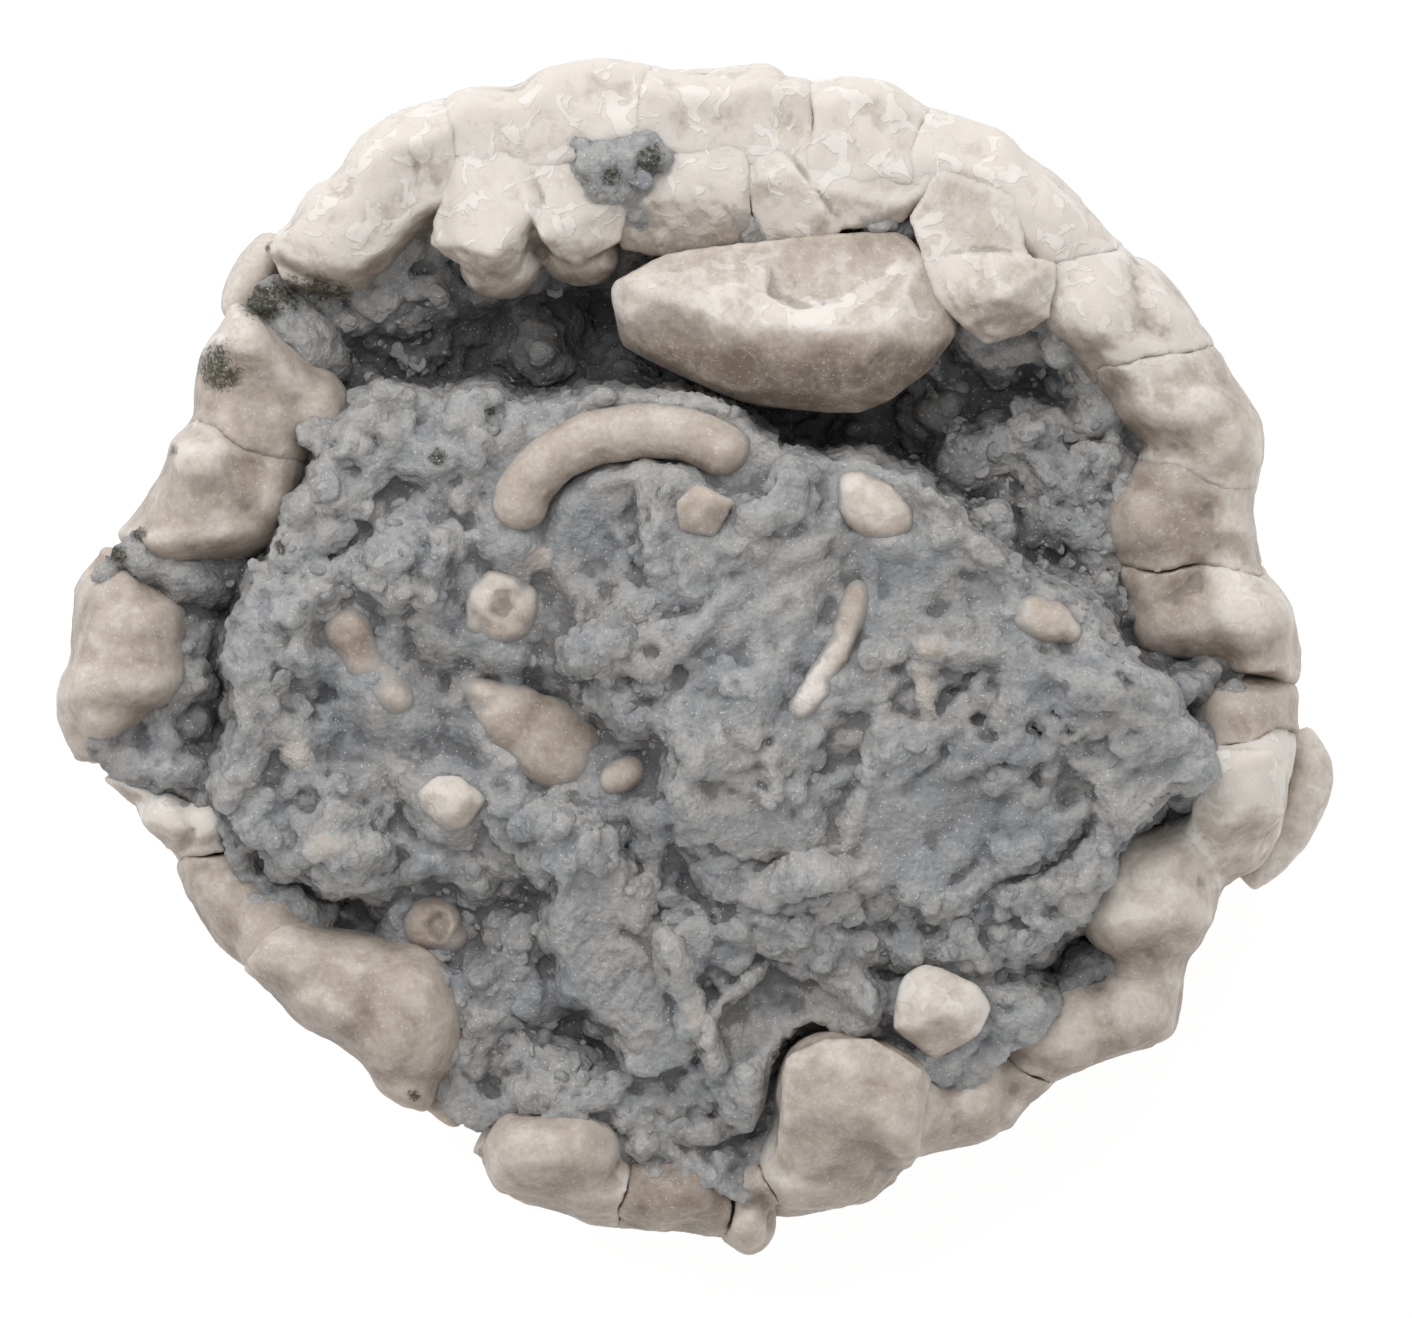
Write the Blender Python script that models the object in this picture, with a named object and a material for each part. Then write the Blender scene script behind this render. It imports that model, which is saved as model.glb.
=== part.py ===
"""Fossil crinoid cup: a rim of thick swollen plates round a broken fill of grey matrix.

The cup lies as it rests, on its flat worn base, with its broken face up.
X runs to the right of the face, Y to its top, and Z up out of the face.
Tables of places are in millimetres, and MM turns them into Blender's metres.
"""

import math
from collections import namedtuple

import bmesh
import bpy
from mathutils import Matrix, Vector, noise

MM = 0.001

# Driving dimensions, in millimetres
CUP_WIDTH = 45.1  # across the outermost rim plates
PLATE_GAP = 0.3  # clear gap between any two solids
RIM_DEPTH = 4.2  # half the height of a rim plate's swelling
RIM_BED = 1.9  # how far under a plate's lowest swelling its plain thick body ends
RIM_BED_IN = 1.5  # how far that body runs in under the fill, before the fill is cut from it
RIM_BED_TAPER = 0.86  # share of the way out that it is drawn in to at its foot
RIM_BED_OUT = 0.7  # how far it stays behind the outer end of a suture
RIM_BED_FOOT = 3.5  # height that it starts from, before the joint under it is cut
RIM_FOOT = 7.0  # mean height of the joint under the rim plates
RIM_FOOT_TILT = 0.08  # how much that joint rises per millimetre towards the top of the face
RIM_FOOT_WAVE = 0.7  # how far that joint rises and falls round the cup
BASE_RADIUS = 9.0  # the fused plates round the stem
BASE_HEIGHT = 2.8
BASE_ROOM = 0.1  # how far the room cut for them reaches past their radius
FLAT_RADIUS = 8.1  # the flat worn face that the cup rests on
FILL_FLOOR = 3.2  # lowest point of the matrix fill
FILL_SPAN = CUP_WIDTH * 0.43  # half the side of the square that its surface is laid out on
LOWER_PLATES = 10  # plates in the circlet between the base and the rim
LOWER_REACH = 14.6  # how far out the middle of such a plate lies
LOWER_SWELL = 0.5  # how much further out every other one lies
LOWER_BOTTOM = 0.5  # height that they are cut off at
LOWER_TURN = 0.35  # share of a plate's angle that the circlet is turned by
GROUND_STEP = 1.1  # spacing of the points on the broken matrix surface
FACE_TOP = 26.0  # above everything
CUT_BOTTOM = -5.0  # below everything

# Room cut round a piece, more than the gap because thinning a cutter brings its faces in
TONGUE_ROOM = PLATE_GAP * 2.2
FRAGMENT_ROOM = PLATE_GAP * 1.9
SPLINTER_ROOM = PLATE_GAP * 1.6
DISPLACED_ROOM = PLATE_GAP * 1.6
CRESCENT_ROOM = PLATE_GAP * 1.4
ARM_ROOM = PLATE_GAP * 1.3
LOWER_ROOM = PLATE_GAP * 1.25

# Size of the steps that overlapping bodies are melted together in
MELT_STEP = 0.35
LOWER_MELT_STEP = 0.5
CUTTER_MELT_STEP = 0.25
FRAGMENT_MELT_STEP = 0.22

# Triangles that each kind of piece is brought down to
RIM_TRIANGLES = 150
LOWER_TRIANGLES = 110
FRAGMENT_TRIANGLES = 60
DISPLACED_TRIANGLES = 150
POCKET_TRIANGLES = 640
RIM_POCKET_TRIANGLES = 360
UNCUT = 1.3  # how many times finer a plate is before it is cut to fit

PLATE_COLOUR = (0.60, 0.53, 0.46, 1)
PALE_COLOUR = (0.72, 0.67, 0.61, 1)
MATRIX_COLOUR = (0.27, 0.275, 0.28, 1)

# A swelling: its middle, its highest point, its half widths and its turn about Z
Lobe = namedtuple("Lobe", "x y top rx ry turn")
# A stretch of the broken surface: its outline, its height at a point, its slope and its edge
Shelf = namedtuple("Shelf", "outline x y height rise_x rise_y edge")

# Rim plates, clockwise from the upper left, each with the suture line that starts it:
# (inner x, inner y, outer x, outer y), then its swellings.
RIM = [
    ((-13.4, 12.2, -16.2, 13.4), [
        Lobe(-10.3, 17.2, 17.6, 3.0, 2.1, 30),
        Lobe(-12.4, 15.6, 17.2, 2.1, 2.1, 0),
        Lobe(-12.5, 14.5, 16.6, 1.9, 1.3, 25),
    ]),
    ((-8.0, 16.4, -8.9, 19.7), [
        Lobe(-7.2, 18.3, 17.6, 2.4, 1.85, 0),
        Lobe(-4.0, 19.0, 18.0, 2.6, 2.15, 0),
        Lobe(-5.4, 17.4, 17.0, 1.9, 1.1, 0),
    ]),
    ((-2.2, 17.8, -1.7, 21.0), [
        Lobe(-0.4, 18.9, 17.9, 2.3, 1.9, 0),
        Lobe(2.0, 18.8, 18.2, 2.3, 2.0, 0),
        Lobe(2.4, 20.2, 16.6, 0.9, 0.9, 0),
    ]),
    ((3.9, 16.4, 4.25, 20.3), [
        Lobe(5.6, 18.5, 17.9, 2.5, 1.95, -15),
        Lobe(5.0, 17.2, 17.8, 1.9, 1.0, -5),
    ]),
    ((7.4, 16.3, 8.0, 19.5), [
        Lobe(9.7, 17.0, 17.6, 2.7, 1.9, -28),
        Lobe(12.3, 15.6, 17.2, 2.7, 1.7, -45),
        Lobe(10.2, 15.3, 16.9, 1.7, 1.3, -30),
    ]),
    ((11.2, 13.9, 15.2, 14.7), [
        Lobe(14.0, 12.5, 17.0, 2.6, 2.0, -25),
        Lobe(16.2, 12.3, 15.8, 1.9, 1.6, -50),
    ]),
    ((13.2, 9.6, 18.7, 11.4), [
        Lobe(16.9, 9.2, 16.2, 2.6, 1.7, -20),
        Lobe(18.2, 7.7, 15.5, 1.85, 2.0, 0),
        Lobe(18.0, 10.1, 14.6, 1.2, 1.2, 0),
    ]),
    ((14.8, 7.6, 19.6, 5.5), [
        Lobe(16.3, 4.9, 15.0, 2.2, 1.9, 0),
        Lobe(18.7, 4.7, 14.8, 1.0, 1.0, 0),
        Lobe(18.6, 3.6, 14.4, 1.3, 0.8, -10),
    ]),
    ((15.0, 3.1, 20.3, 3.0), [
        Lobe(16.6, 1.5, 14.2, 1.7, 1.8, 0),
        Lobe(19.4, 1.5, 15.2, 1.95, 1.7, -30),
        Lobe(20.1, 0.0, 14.2, 1.25, 1.5, 0),
    ]),
    ((15.5, 0.0, 21.4, -0.9), [
        Lobe(19.3, -2.0, 13.6, 2.1, 1.5, 0),
    ]),
    ((17.0, -3.3, 21.3, -2.6), [
        Lobe(19.1, -4.5, 15.6, 1.7, 1.5, 0),
        Lobe(18.7, -6.2, 14.0, 1.7, 1.9, 20),
    ]),
    ((16.6, -5.6, 18.7, -8.4), [
        Lobe(15.9, -8.4, 15.6, 2.5, 2.3, 0),
        Lobe(16.8, -9.9, 14.2, 1.3, 1.3, 40),
        Lobe(15.9, -10.5, 13.8, 1.4, 0.9, 0),
    ]),
    ((13.5, -10.9, 17.4, -11.4), [
        Lobe(15.6, -12.3, 13.8, 1.75, 1.65, 0),
        Lobe(12.8, -12.9, 13.6, 2.3, 1.6, 25),
    ]),
    ((10.6, -13.9, 12.6, -15.2), [
        Lobe(9.6, -15.2, 13.8, 1.6, 1.8, 0),
        Lobe(8.7, -16.2, 13.2, 1.9, 1.2, 10),
        Lobe(11.0, -15.7, 12.4, 0.95, 1.2, -25),
    ]),
    ((8.4, -14.2, 6.8, -18.4), [
        Lobe(5.6, -15.3, 17.4, 2.8, 2.1, -15),
        Lobe(4.2, -18.0, 14.4, 2.1, 1.8, 0),
        Lobe(5.9, -18.3, 13.4, 1.2, 1.2, 30),
    ]),
    ((2.0, -17.4, 3.0, -20.2), [
        Lobe(1.75, -20.1, 12.8, 0.95, 1.15, 0),
        Lobe(1.6, -18.7, 12.8, 0.75, 1.3, 0),
    ]),
    ((1.0, -17.6, 1.0, -20.6), [
        Lobe(-0.8, -18.8, 13.4, 2.4, 1.6, -5),
    ]),
    ((-2.4, -16.8, -2.9, -20.4), [
        Lobe(-5.1, -17.4, 15.2, 2.5, 1.5, 0),
        Lobe(-6.5, -17.9, 14.0, 1.1, 1.1, 0),
        Lobe(-4.0, -18.9, 13.6, 1.9, 1.15, -8),
    ]),
    ((-7.6, -15.4, -8.2, -17.4), [
        Lobe(-10.3, -12.4, 15.6, 2.2, 2.5, 20),
        Lobe(-13.9, -10.4, 15.0, 2.1, 1.3, -25),
        Lobe(-12.6, -12.0, 15.2, 2.0, 1.4, -35),
        Lobe(-11.7, -13.2, 14.2, 1.0, 1.0, 0),
        Lobe(-10.2, -14.8, 14.0, 1.4, 0.95, -5),
    ]),
    ((-13.9, -9.0, -16.6, -11.1), [
        Lobe(-16.4, -8.3, 13.0, 2.2, 1.7, -50),
    ]),
    ((-16.0, -6.7, -19.2, -7.1), [
        Lobe(-18.8, -5.7, 13.8, 1.25, 0.95, -40),
        Lobe(-17.4, -5.8, 13.6, 1.1, 1.1, 0),
        Lobe(-20.0, -4.7, 12.8, 1.0, 0.65, -35),
    ]),
    ((-17.5, -3.3, -22.0, -4.3), [
        Lobe(-20.2, -0.8, 15.2, 2.35, 1.25, 0),
        Lobe(-19.9, 1.1, 14.8, 2.2, 1.4, 0),
        Lobe(-20.7, 2.4, 14.2, 1.35, 1.0, 25),
        Lobe(-20.8, -2.1, 14.4, 0.9, 0.55, 0),
        Lobe(-21.6, -2.6, 11.8, 0.95, 1.0, 0),
    ]),
    ((-16.5, 2.5, -20.9, 4.1), [
        Lobe(-17.1, 4.7, 15.2, 2.7, 1.45, 10),
        Lobe(-17.3, 6.8, 16.2, 1.35, 1.3, 0),
        Lobe(-15.3, 5.9, 15.0, 1.25, 1.6, 0),
    ]),
    ((-13.8, 6.9, -18.0, 8.3), [
        Lobe(-15.3, 8.7, 15.2, 2.45, 1.5, -5),
        Lobe(-15.5, 10.8, 16.2, 1.4, 1.0, -25),
        Lobe(-13.5, 8.8, 14.8, 1.4, 1.5, 0),
    ]),
]
# A splinter of plate pressed against the outside of the rim at the upper left
SPLINTER = Lobe(-15.6, 13.4, 13.0, 0.85, 1.8, -28)
SPLINTER_DEPTH = 2.6

# Where the matrix bulges out between two rim plates
TONGUES = [
    Lobe(-12.7, 10.2, 13.4, 3.3, 1.1, -38),
    Lobe(-17.2, 2.6, 13.0, 3.5, 0.9, -10),
    Lobe(-17.4, -3.4, 12.8, 3.6, 1.0, 2),
    Lobe(-7.3, -14.0, 12.6, 1.2, 3.8, -28),
    Lobe(16.4, -0.6, 12.8, 3.0, 0.7, -5),
]
TONGUE_DEPTH = 2.2

# The two bodies that a lower plate is melted from: height of its middle, how far in from the
# plate's reach that lies, half thickness, half width and half height
LOWER_BODIES = [(5.0, 0.0, 4.4, 5.6, 4.6), (2.2, 4.0, 4.0, 4.6, 2.6)]

# Inner edge of the rim at the face, every 15 degrees counter-clockwise from +X
FILL_RADII = [
    16.0, 15.3, 16.9, 17.0, 17.4, 16.8, 17.2, 17.2, 17.8, 17.8, 15.5, 15.8,
    17.4, 17.2, 16.4, 14.9, 15.0, 16.4, 17.4, 14.6, 16.0, 16.8, 15.7, 17.4,
]
# (height, share of the inner edge's radius) down the inside of the cup
FILL_PROFILE = [(FILL_FLOOR, 0.42), (5.5, 0.68), (9.0, 0.90), (13.0, 1.0), (FACE_TOP, 1.03)]

# The broken matrix surface: a deep floor, then shelves laid on it one after another
FLOOR_HEIGHT = 9.8
SHELVES = [
    # rough sunken ground at the upper right
    Shelf([(9, 8), (14.9, 9.0), (15.6, 6), (14.8, 3), (15.8, -0.5), (13.0, 0.8), (9.5, 4.5)],
          12.5, 6.0, 11.4, 0.15, 0.05, 1.4),
    # shoulder that holds the right end of the displaced plate
    Shelf([(5.5, 15.2), (9.5, 16.4), (13.4, 12.6), (13.3, 10.2), (9.7, 10.4), (7.5, 12.8)],
          9.0, 13.0, 14.4, 0.0, 0.15, 1.5),
    # ground under the upper left plates
    Shelf([(-15.5, 13.6), (-9.6, 15.4), (-3.0, 15.8), (3.0, 17.5), (6.0, 15.6), (-4.0, 13.4),
           (-11.0, 11.5), (-14.5, 10.5)], -6.0, 14.5, 12.6, 0.0, 0.3, 1.6),
    # left mound
    Shelf([(-16.9, -4.2), (-16.4, -1.5), (-16.3, 1.0), (-15.2, 4.0), (-13.4, 6.8), (-11.2, 9.9),
           (-9.2, 9.2), (-7.9, 9.9), (-6.1, 9.0), (-4.0, 9.4), (-1.0, 9.5), (1.3, 8.9), (2.9, 7.6),
           (3.5, 4.0), (0.0, -5.0), (-6.0, -8.0), (-11.2, -8.6), (-14.8, -7.6), (-16.4, -5.6)],
          -7.0, 3.0, 16.6, 0.12, 0.17, 1.7),
    # smooth hollow in it
    Shelf([(-13.2, -1.0), (-10.0, 0.6), (-6.5, -0.6), (-4.3, -1.5), (-3.4, -3.6), (-6.0, -4.4),
           (-10.0, -4.2), (-13.6, -3.6)], -8.0, -2.5, 14.9, 0.02, 0.1, 1.6),
    # sunken ground at the lower left, beside the rim
    Shelf([(-10.6, -8.6), (-7.0, -7.4), (-5.0, -7.6), (-4.6, -12.0), (-1.6, -14.8), (1.0, -16.2),
           (0.6, -19.0), (-4.4, -17.0), (-8.6, -14.0), (-10.8, -10.4)],
          -7.0, -11.0, 12.2, 0.0, 0.1, 1.6),
    # right mound, with its pointed end over the rim
    Shelf([(-2.0, 4.8), (-1.2, 6.4), (2.2, 7.1), (5.0, 7.1), (8.5, 6.3), (10.0, 4.0), (12.5, 2.4),
           (15.0, 0.2), (17.1, -1.8), (18.3, -3.8), (17.3, -4.9), (14.8, -6.0), (13.1, -6.5),
           (10.9, -7.4), (8.5, -8.9), (5.8, -8.1), (3.4, -9.0), (0.5, -8.3), (-0.3, -6.8),
           (-1.3, -4.8), (-1.3, -2.2), (-2.7, -3.0), (-3.8, -2.0), (-3.6, 0.6), (-1.8, 2.8)],
          5.0, 0.0, 18.2, -0.03, 0.13, 1.6),
    # broken step at the lower right
    Shelf([(0.8, -8.6), (5.0, -8.4), (9.0, -8.8), (13.8, -6.8), (13.8, -9.2), (10.6, -11.2),
           (5.6, -11.4), (3.2, -11.0), (1.2, -10.0)], 8.0, -9.0, 14.0, -0.05, 0.3, 1.5),
    # ledge that carries the small block
    Shelf([(5.6, -10.8), (11.0, -10.6), (12.6, -12.0), (9.6, -15.6), (5.4, -15.4)],
          8.5, -12.5, 12.8, 0.0, 0.1, 1.4),
    # slab that leans down to the rim
    Shelf([(-5.0, -7.0), (-2.0, -6.8), (-0.4, -9.0), (0.4, -12.0), (-0.2, -14.4), (-2.0, -14.6),
           (-4.6, -11.6), (-5.2, -9.4)], -2.6, -10.5, 15.6, 0.1, 0.22, 1.5),
    # hollow with the two ridges round it
    Shelf([(-0.6, -9.2), (2.6, -10.6), (6.2, -11.4), (6.6, -12.9), (4.0, -13.0), (2.6, -14.0),
           (1.7, -16.2), (0.9, -15.9), (0.0, -13.0)], 2.4, -12.6, 14.6, 0.05, 0.12, 1.3),
]
ROUGHNESS = 0.45  # height of the small bumps on that surface
ROUGHNESS_SPREAD = 0.55  # bumps per millimetre, roughly

# Plates that have slipped or broken inside the rim, and fragments lying in the matrix:
# name, how far it goes down into the matrix, swellings
FRAGMENTS = [
    ("broken_plate_1", 1.0, [
        Lobe(-7.5, 14.7, 17.4, 1.7, 1.6, -30),
        Lobe(-5.6, 14.7, 17.0, 1.8, 1.3, -25),
        Lobe(-4.2, 14.4, 16.6, 1.3, 0.95, 10),
    ]),
    ("broken_plate_2", 1.0, [Lobe(-0.8, 15.6, 16.9, 1.9, 1.0, 0)]),
    ("broken_plate_3", 0.8, [Lobe(3.2, 15.9, 16.8, 1.5, 0.75, -20)]),
    ("broken_plate_4", 1.0, [
        Lobe(10.5, 12.5, 17.0, 1.55, 1.3, -20),
        Lobe(9.0, 13.5, 16.6, 1.3, 1.1, -20),
    ]),
    ("small_block", 1.2, [
        Lobe(8.2, -12.7, 16.9, 1.5, 1.5, 0),
        Lobe(9.1, -12.0, 16.6, 1.3, 1.2, 0),
    ]),
    ("round_ossicle", 0.9, [Lobe(6.1, 5.3, 20.1, 1.6, 1.05, -40)]),
    ("block_ossicle", 0.8, [Lobe(0.3, 5.2, 20.0, 0.95, 0.8, 60)]),
    ("spindle_ossicle", 0.7, [
        Lobe(5.3, 1.4, 18.9, 0.6, 1.35, -25),
        Lobe(4.2, -0.7, 18.8, 0.6, 1.5, -33),
    ]),
    ("lens_ossicle", 0.7, [Lobe(12.0, 1.5, 19.1, 1.3, 0.65, -15)]),
    ("smooth_plate", 1.0, [
        Lobe(-5.3, -2.6, 16.8, 1.9, 1.6, -25),
        Lobe(-7.1, -1.0, 16.1, 1.4, 0.9, -30),
    ]),
    ("diamond_ossicle", 0.8, [Lobe(-8.6, -5.1, 16.2, 1.35, 1.1, 0)]),
    ("pebble_ossicle", 0.8, [Lobe(-2.6, -4.1, 16.5, 0.95, 0.65, 25)]),
    ("spine_left", 0.8, [
        Lobe(-12.2, 0.8, 16.6, 0.8, 1.2, 30),
        Lobe(-11.0, -0.9, 15.8, 0.75, 1.3, 40),
    ]),
    ("columnal_left", 0.7, [Lobe(-6.8, 1.7, 17.0, 1.1, 1.1, 0)]),
    ("columnal_lower", 0.7, [Lobe(-9.2, -9.4, 13.2, 1.2, 1.2, 0)]),
]

# The displaced plate: corners of its broken block, (x, y, z)
DISPLACED_CORNERS = [
    (-2.9, 12.9, 18.4), (-2.5, 11.0, 17.2), (-1.2, 10.4, 15.8), (-1.2, 12.6, 19.6), (-1.4, 14.0, 17.6),
    (0.2, 14.3, 17.6), (2.0, 14.4, 17.8), (4.0, 15.0, 17.8), (6.9, 15.0, 17.6), (8.7, 12.6, 17.0),
    (8.4, 10.2, 16.2), (6.6, 9.0, 15.4), (4.0, 8.5, 15.2), (1.0, 9.2, 15.4), (2.6, 12.0, 19.8),
    (6.0, 12.6, 19.2), (5.0, 10.2, 18.0), (0.6, 11.2, 18.6), (0.6, 11.4, 13.6), (6.6, 11.8, 13.2),
    (7.4, 13.4, 14.6), (4.2, 13.4, 13.8),
]

# The crescent, an arm joint seen on its side: (x, y) along its middle, its height and radius
CRESCENT_PATH = [(-6.35, 4.5), (-6.1, 5.9), (-5.1, 7.0), (-3.6, 7.75), (-2.0, 8.0), (-0.4, 7.85),
                 (0.9, 7.3), (1.6, 6.7)]
CRESCENT_HEIGHT = 17.7
CRESCENT_RISE = 0.12  # per millimetre to the right
CRESCENT_RADIUS = 0.95
CRESCENT_TIP = 0.75  # share of that radius at its two ends

# The piece of arm that lies outside the rim at the right
ARM_PATH = [(21.2, -2.6), (21.75, -3.8), (21.5, -5.0), (20.9, -6.2), (20.1, -7.2), (19.4, -7.9)]
ARM_HEIGHT = 8.9
ARM_RADIUS = 0.9
ARM_DIP = 0.1  # how much lower each point lies than the one before it
ARM_TAPER = (0.6, 0.95, 1.0, 0.9, 0.8, 0.55)  # share of that radius at each point


def clear_scene():
    for old in list(bpy.data.objects):
        bpy.data.objects.remove(old)


def stone(name, colour, roughness=0.7):
    """A plain stone finish."""
    material = bpy.data.materials.new(name)
    material.use_nodes = True
    shader = material.node_tree.nodes["Principled BSDF"]
    shader.inputs["Base Color"].default_value = colour
    shader.inputs["Roughness"].default_value = roughness
    return material


def new_object(name, mesh, material=None):
    made = bpy.data.objects.new(name, mesh)
    bpy.context.scene.collection.objects.link(made)
    if material is not None:
        mesh.materials.clear()
        mesh.materials.append(material)
    return made


def object_from(name, bm, material=None):
    mesh = bpy.data.meshes.new(name)
    bm.to_mesh(mesh)
    bm.free()
    return new_object(name, mesh, material)


def hide(cutter):
    """A cutter stays in the file as a wire guide only."""
    cutter.hide_render = True
    cutter.display_type = "WIRE"
    return cutter


def settle(made):
    """Makes the object's mesh what its modifiers give."""
    graph = bpy.context.evaluated_depsgraph_get()
    mesh = bpy.data.meshes.new_from_object(made.evaluated_get(graph))
    made.modifiers.clear()
    made.data = mesh
    return made


def add_lobe(bm, lobe, depth, grow=0.0, subdivisions=2):
    """Adds one swelling, an ellipsoid whose highest point is at the lobe's top."""
    place = (
        Matrix.Translation(Vector((lobe.x, lobe.y, lobe.top - depth)) * MM)
        @ Matrix.Rotation(math.radians(lobe.turn), 4, "Z")
        @ Matrix.Diagonal(((lobe.rx + grow) * MM, (lobe.ry + grow) * MM, (depth + grow) * MM, 1))
    )
    bmesh.ops.create_icosphere(bm, subdivisions=subdivisions, radius=1, matrix=place)


def melted(name, bm, triangles, material=None, step=MELT_STEP):
    """Overlapping bodies melted into one, brought down to a number of triangles."""
    made = object_from(name, bm, material)
    remesh = made.modifiers.new("melt", "REMESH")
    remesh.mode = "VOXEL"
    remesh.voxel_size = step * MM
    smooth = made.modifiers.new("smooth", "SMOOTH")
    smooth.factor = 0.5
    smooth.iterations = 2
    settle(made)
    return thinned(made, triangles)


def thinned(made, triangles):
    """Brings a closed mesh down to about that many triangles."""
    made.data.calc_loop_triangles()
    thin = made.modifiers.new("thin", "DECIMATE")
    thin.ratio = min(1.0, triangles / len(made.data.loop_triangles))
    thin.use_collapse_triangulate = True
    return settle(made)


def without_crumbs(made):
    """Drops the loose bits that cutting has left beside a piece."""
    bm = bmesh.new()
    bm.from_mesh(made.data)
    bodies, seen = [], set()
    for start in bm.verts:
        if start in seen:
            continue
        seen.add(start)
        body, waiting = [start], [start]
        while waiting:
            for edge in waiting.pop().link_edges:
                for vert in edge.verts:
                    if vert not in seen:
                        seen.add(vert)
                        body.append(vert)
                        waiting.append(vert)
        bodies.append(body)
    bodies.sort(key=len)
    for body in bodies[:-1]:
        bmesh.ops.delete(bm, geom=body, context="VERTS")
    bm.to_mesh(made.data)
    bm.free()
    return made


def cut_off(made, point, outward):
    """Cuts the object off at a plane, and closes the cut. What lies along outward goes."""
    bm = bmesh.new()
    bm.from_mesh(made.data)
    everything = bm.verts[:] + bm.edges[:] + bm.faces[:]
    bmesh.ops.bisect_plane(bm, geom=everything, plane_co=Vector(point) * MM,
                           plane_no=Vector(outward), clear_outer=True)
    open_edges = [edge for edge in bm.edges if edge.is_boundary]
    if open_edges:
        bmesh.ops.holes_fill(bm, edges=open_edges)
    bmesh.ops.triangulate(bm, faces=[face for face in bm.faces if len(face.verts) > 3])
    bm.to_mesh(made.data)
    bm.free()


def cut_at_suture(made, suture, keep_x, keep_y):
    """Cuts a plate at the upright plane of a suture, on the side away from its middle."""
    inner_x, inner_y, outer_x, outer_y = suture
    normal = Vector((inner_y - outer_y, outer_x - inner_x, 0)).normalized()
    if normal.dot(Vector((keep_x - inner_x, keep_y - inner_y, 0))) > 0:
        normal = -normal
    point = Vector((inner_x, inner_y, 0)) - normal * PLATE_GAP / 2
    cut_off(made, point, normal)


def boolean(made, other, operation, solver="EXACT"):
    cut = made.modifiers.new(other.name, "BOOLEAN")
    cut.operation = operation
    cut.object = other
    cut.solver = solver


def fill_shape(name, grow):
    """The inside of the cup: rings of the inner edge's radii, drawn in towards the floor."""
    bm = bmesh.new()
    count = len(FILL_RADII)
    rings = []
    for level, (height, share) in enumerate(FILL_PROFILE):
        drop = grow if level == 0 else 0.0
        ring = []
        for i, radius in enumerate(FILL_RADII):
            angle = 2 * math.pi * i / count
            reach = radius * share + grow
            ring.append(bm.verts.new(Vector((reach * math.cos(angle), reach * math.sin(angle),
                                             height - drop)) * MM))
        rings.append(ring)
    for low, high in zip(rings, rings[1:]):
        for i in range(count):
            j = (i + 1) % count
            bm.faces.new((low[i], low[j], high[j], high[i]))
    bm.faces.new(rings[0][::-1])
    bm.faces.new(rings[-1])
    bmesh.ops.triangulate(bm, faces=bm.faces[:])
    return hide(object_from(name, bm))


def rim_foot(name, lift):
    """All that lies under the rim plates' joint: a disc with a wavy top."""
    bm = bmesh.new()
    steps = 2 * LOWER_PLATES
    reach = CUP_WIDTH * 0.75
    low, high = [], []
    for i in range(steps):
        angle = 2 * math.pi * (i + 0.2) / steps
        wave = RIM_FOOT_WAVE * (1 if i % 2 else -1)
        x, y = reach * math.cos(angle), reach * math.sin(angle)
        low.append(bm.verts.new(Vector((x, y, CUT_BOTTOM)) * MM))
        height = RIM_FOOT + RIM_FOOT_TILT * y + wave + lift
        high.append(bm.verts.new(Vector((x, y, height)) * MM))
    top = bm.verts.new(Vector((0, 0, RIM_FOOT + lift)) * MM)
    for i in range(steps):
        j = (i + 1) % steps
        bm.faces.new((low[i], low[j], high[j], high[i]))
        bm.faces.new((high[i], high[j], top))
    bm.faces.new(low[::-1])
    return hide(object_from(name, bm))


def cylinder(name, radius, bottom, top, segments=30):
    bm = bmesh.new()
    place = Matrix.Translation(Vector((0, 0, (bottom + top) / 2)) * MM)
    bmesh.ops.create_cone(bm, cap_ends=True, segments=segments, radius1=radius * MM,
                          radius2=radius * MM, depth=(top - bottom) * MM, matrix=place)
    return hide(object_from(name, bm))


def tongues(name):
    """The tongues of matrix between the rim plates, as one set of bodies."""
    bm = bmesh.new()
    for lobe in TONGUES:
        add_lobe(bm, lobe, TONGUE_DEPTH, subdivisions=1)
    return hide(object_from(name, bm))


def rim_pocket():
    """Room in the rim for the tongues and for the piece of arm."""
    bm = bmesh.new()
    for lobe in TONGUES:
        add_lobe(bm, lobe, TONGUE_DEPTH, TONGUE_ROOM, subdivisions=1)
    add_arm(bm, ARM_ROOM)
    add_lobe(bm, SPLINTER, SPLINTER_DEPTH, SPLINTER_ROOM, subdivisions=1)
    return hide(melted("rim_pocket", bm, RIM_POCKET_TRIANGLES, step=CUTTER_MELT_STEP))


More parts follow.
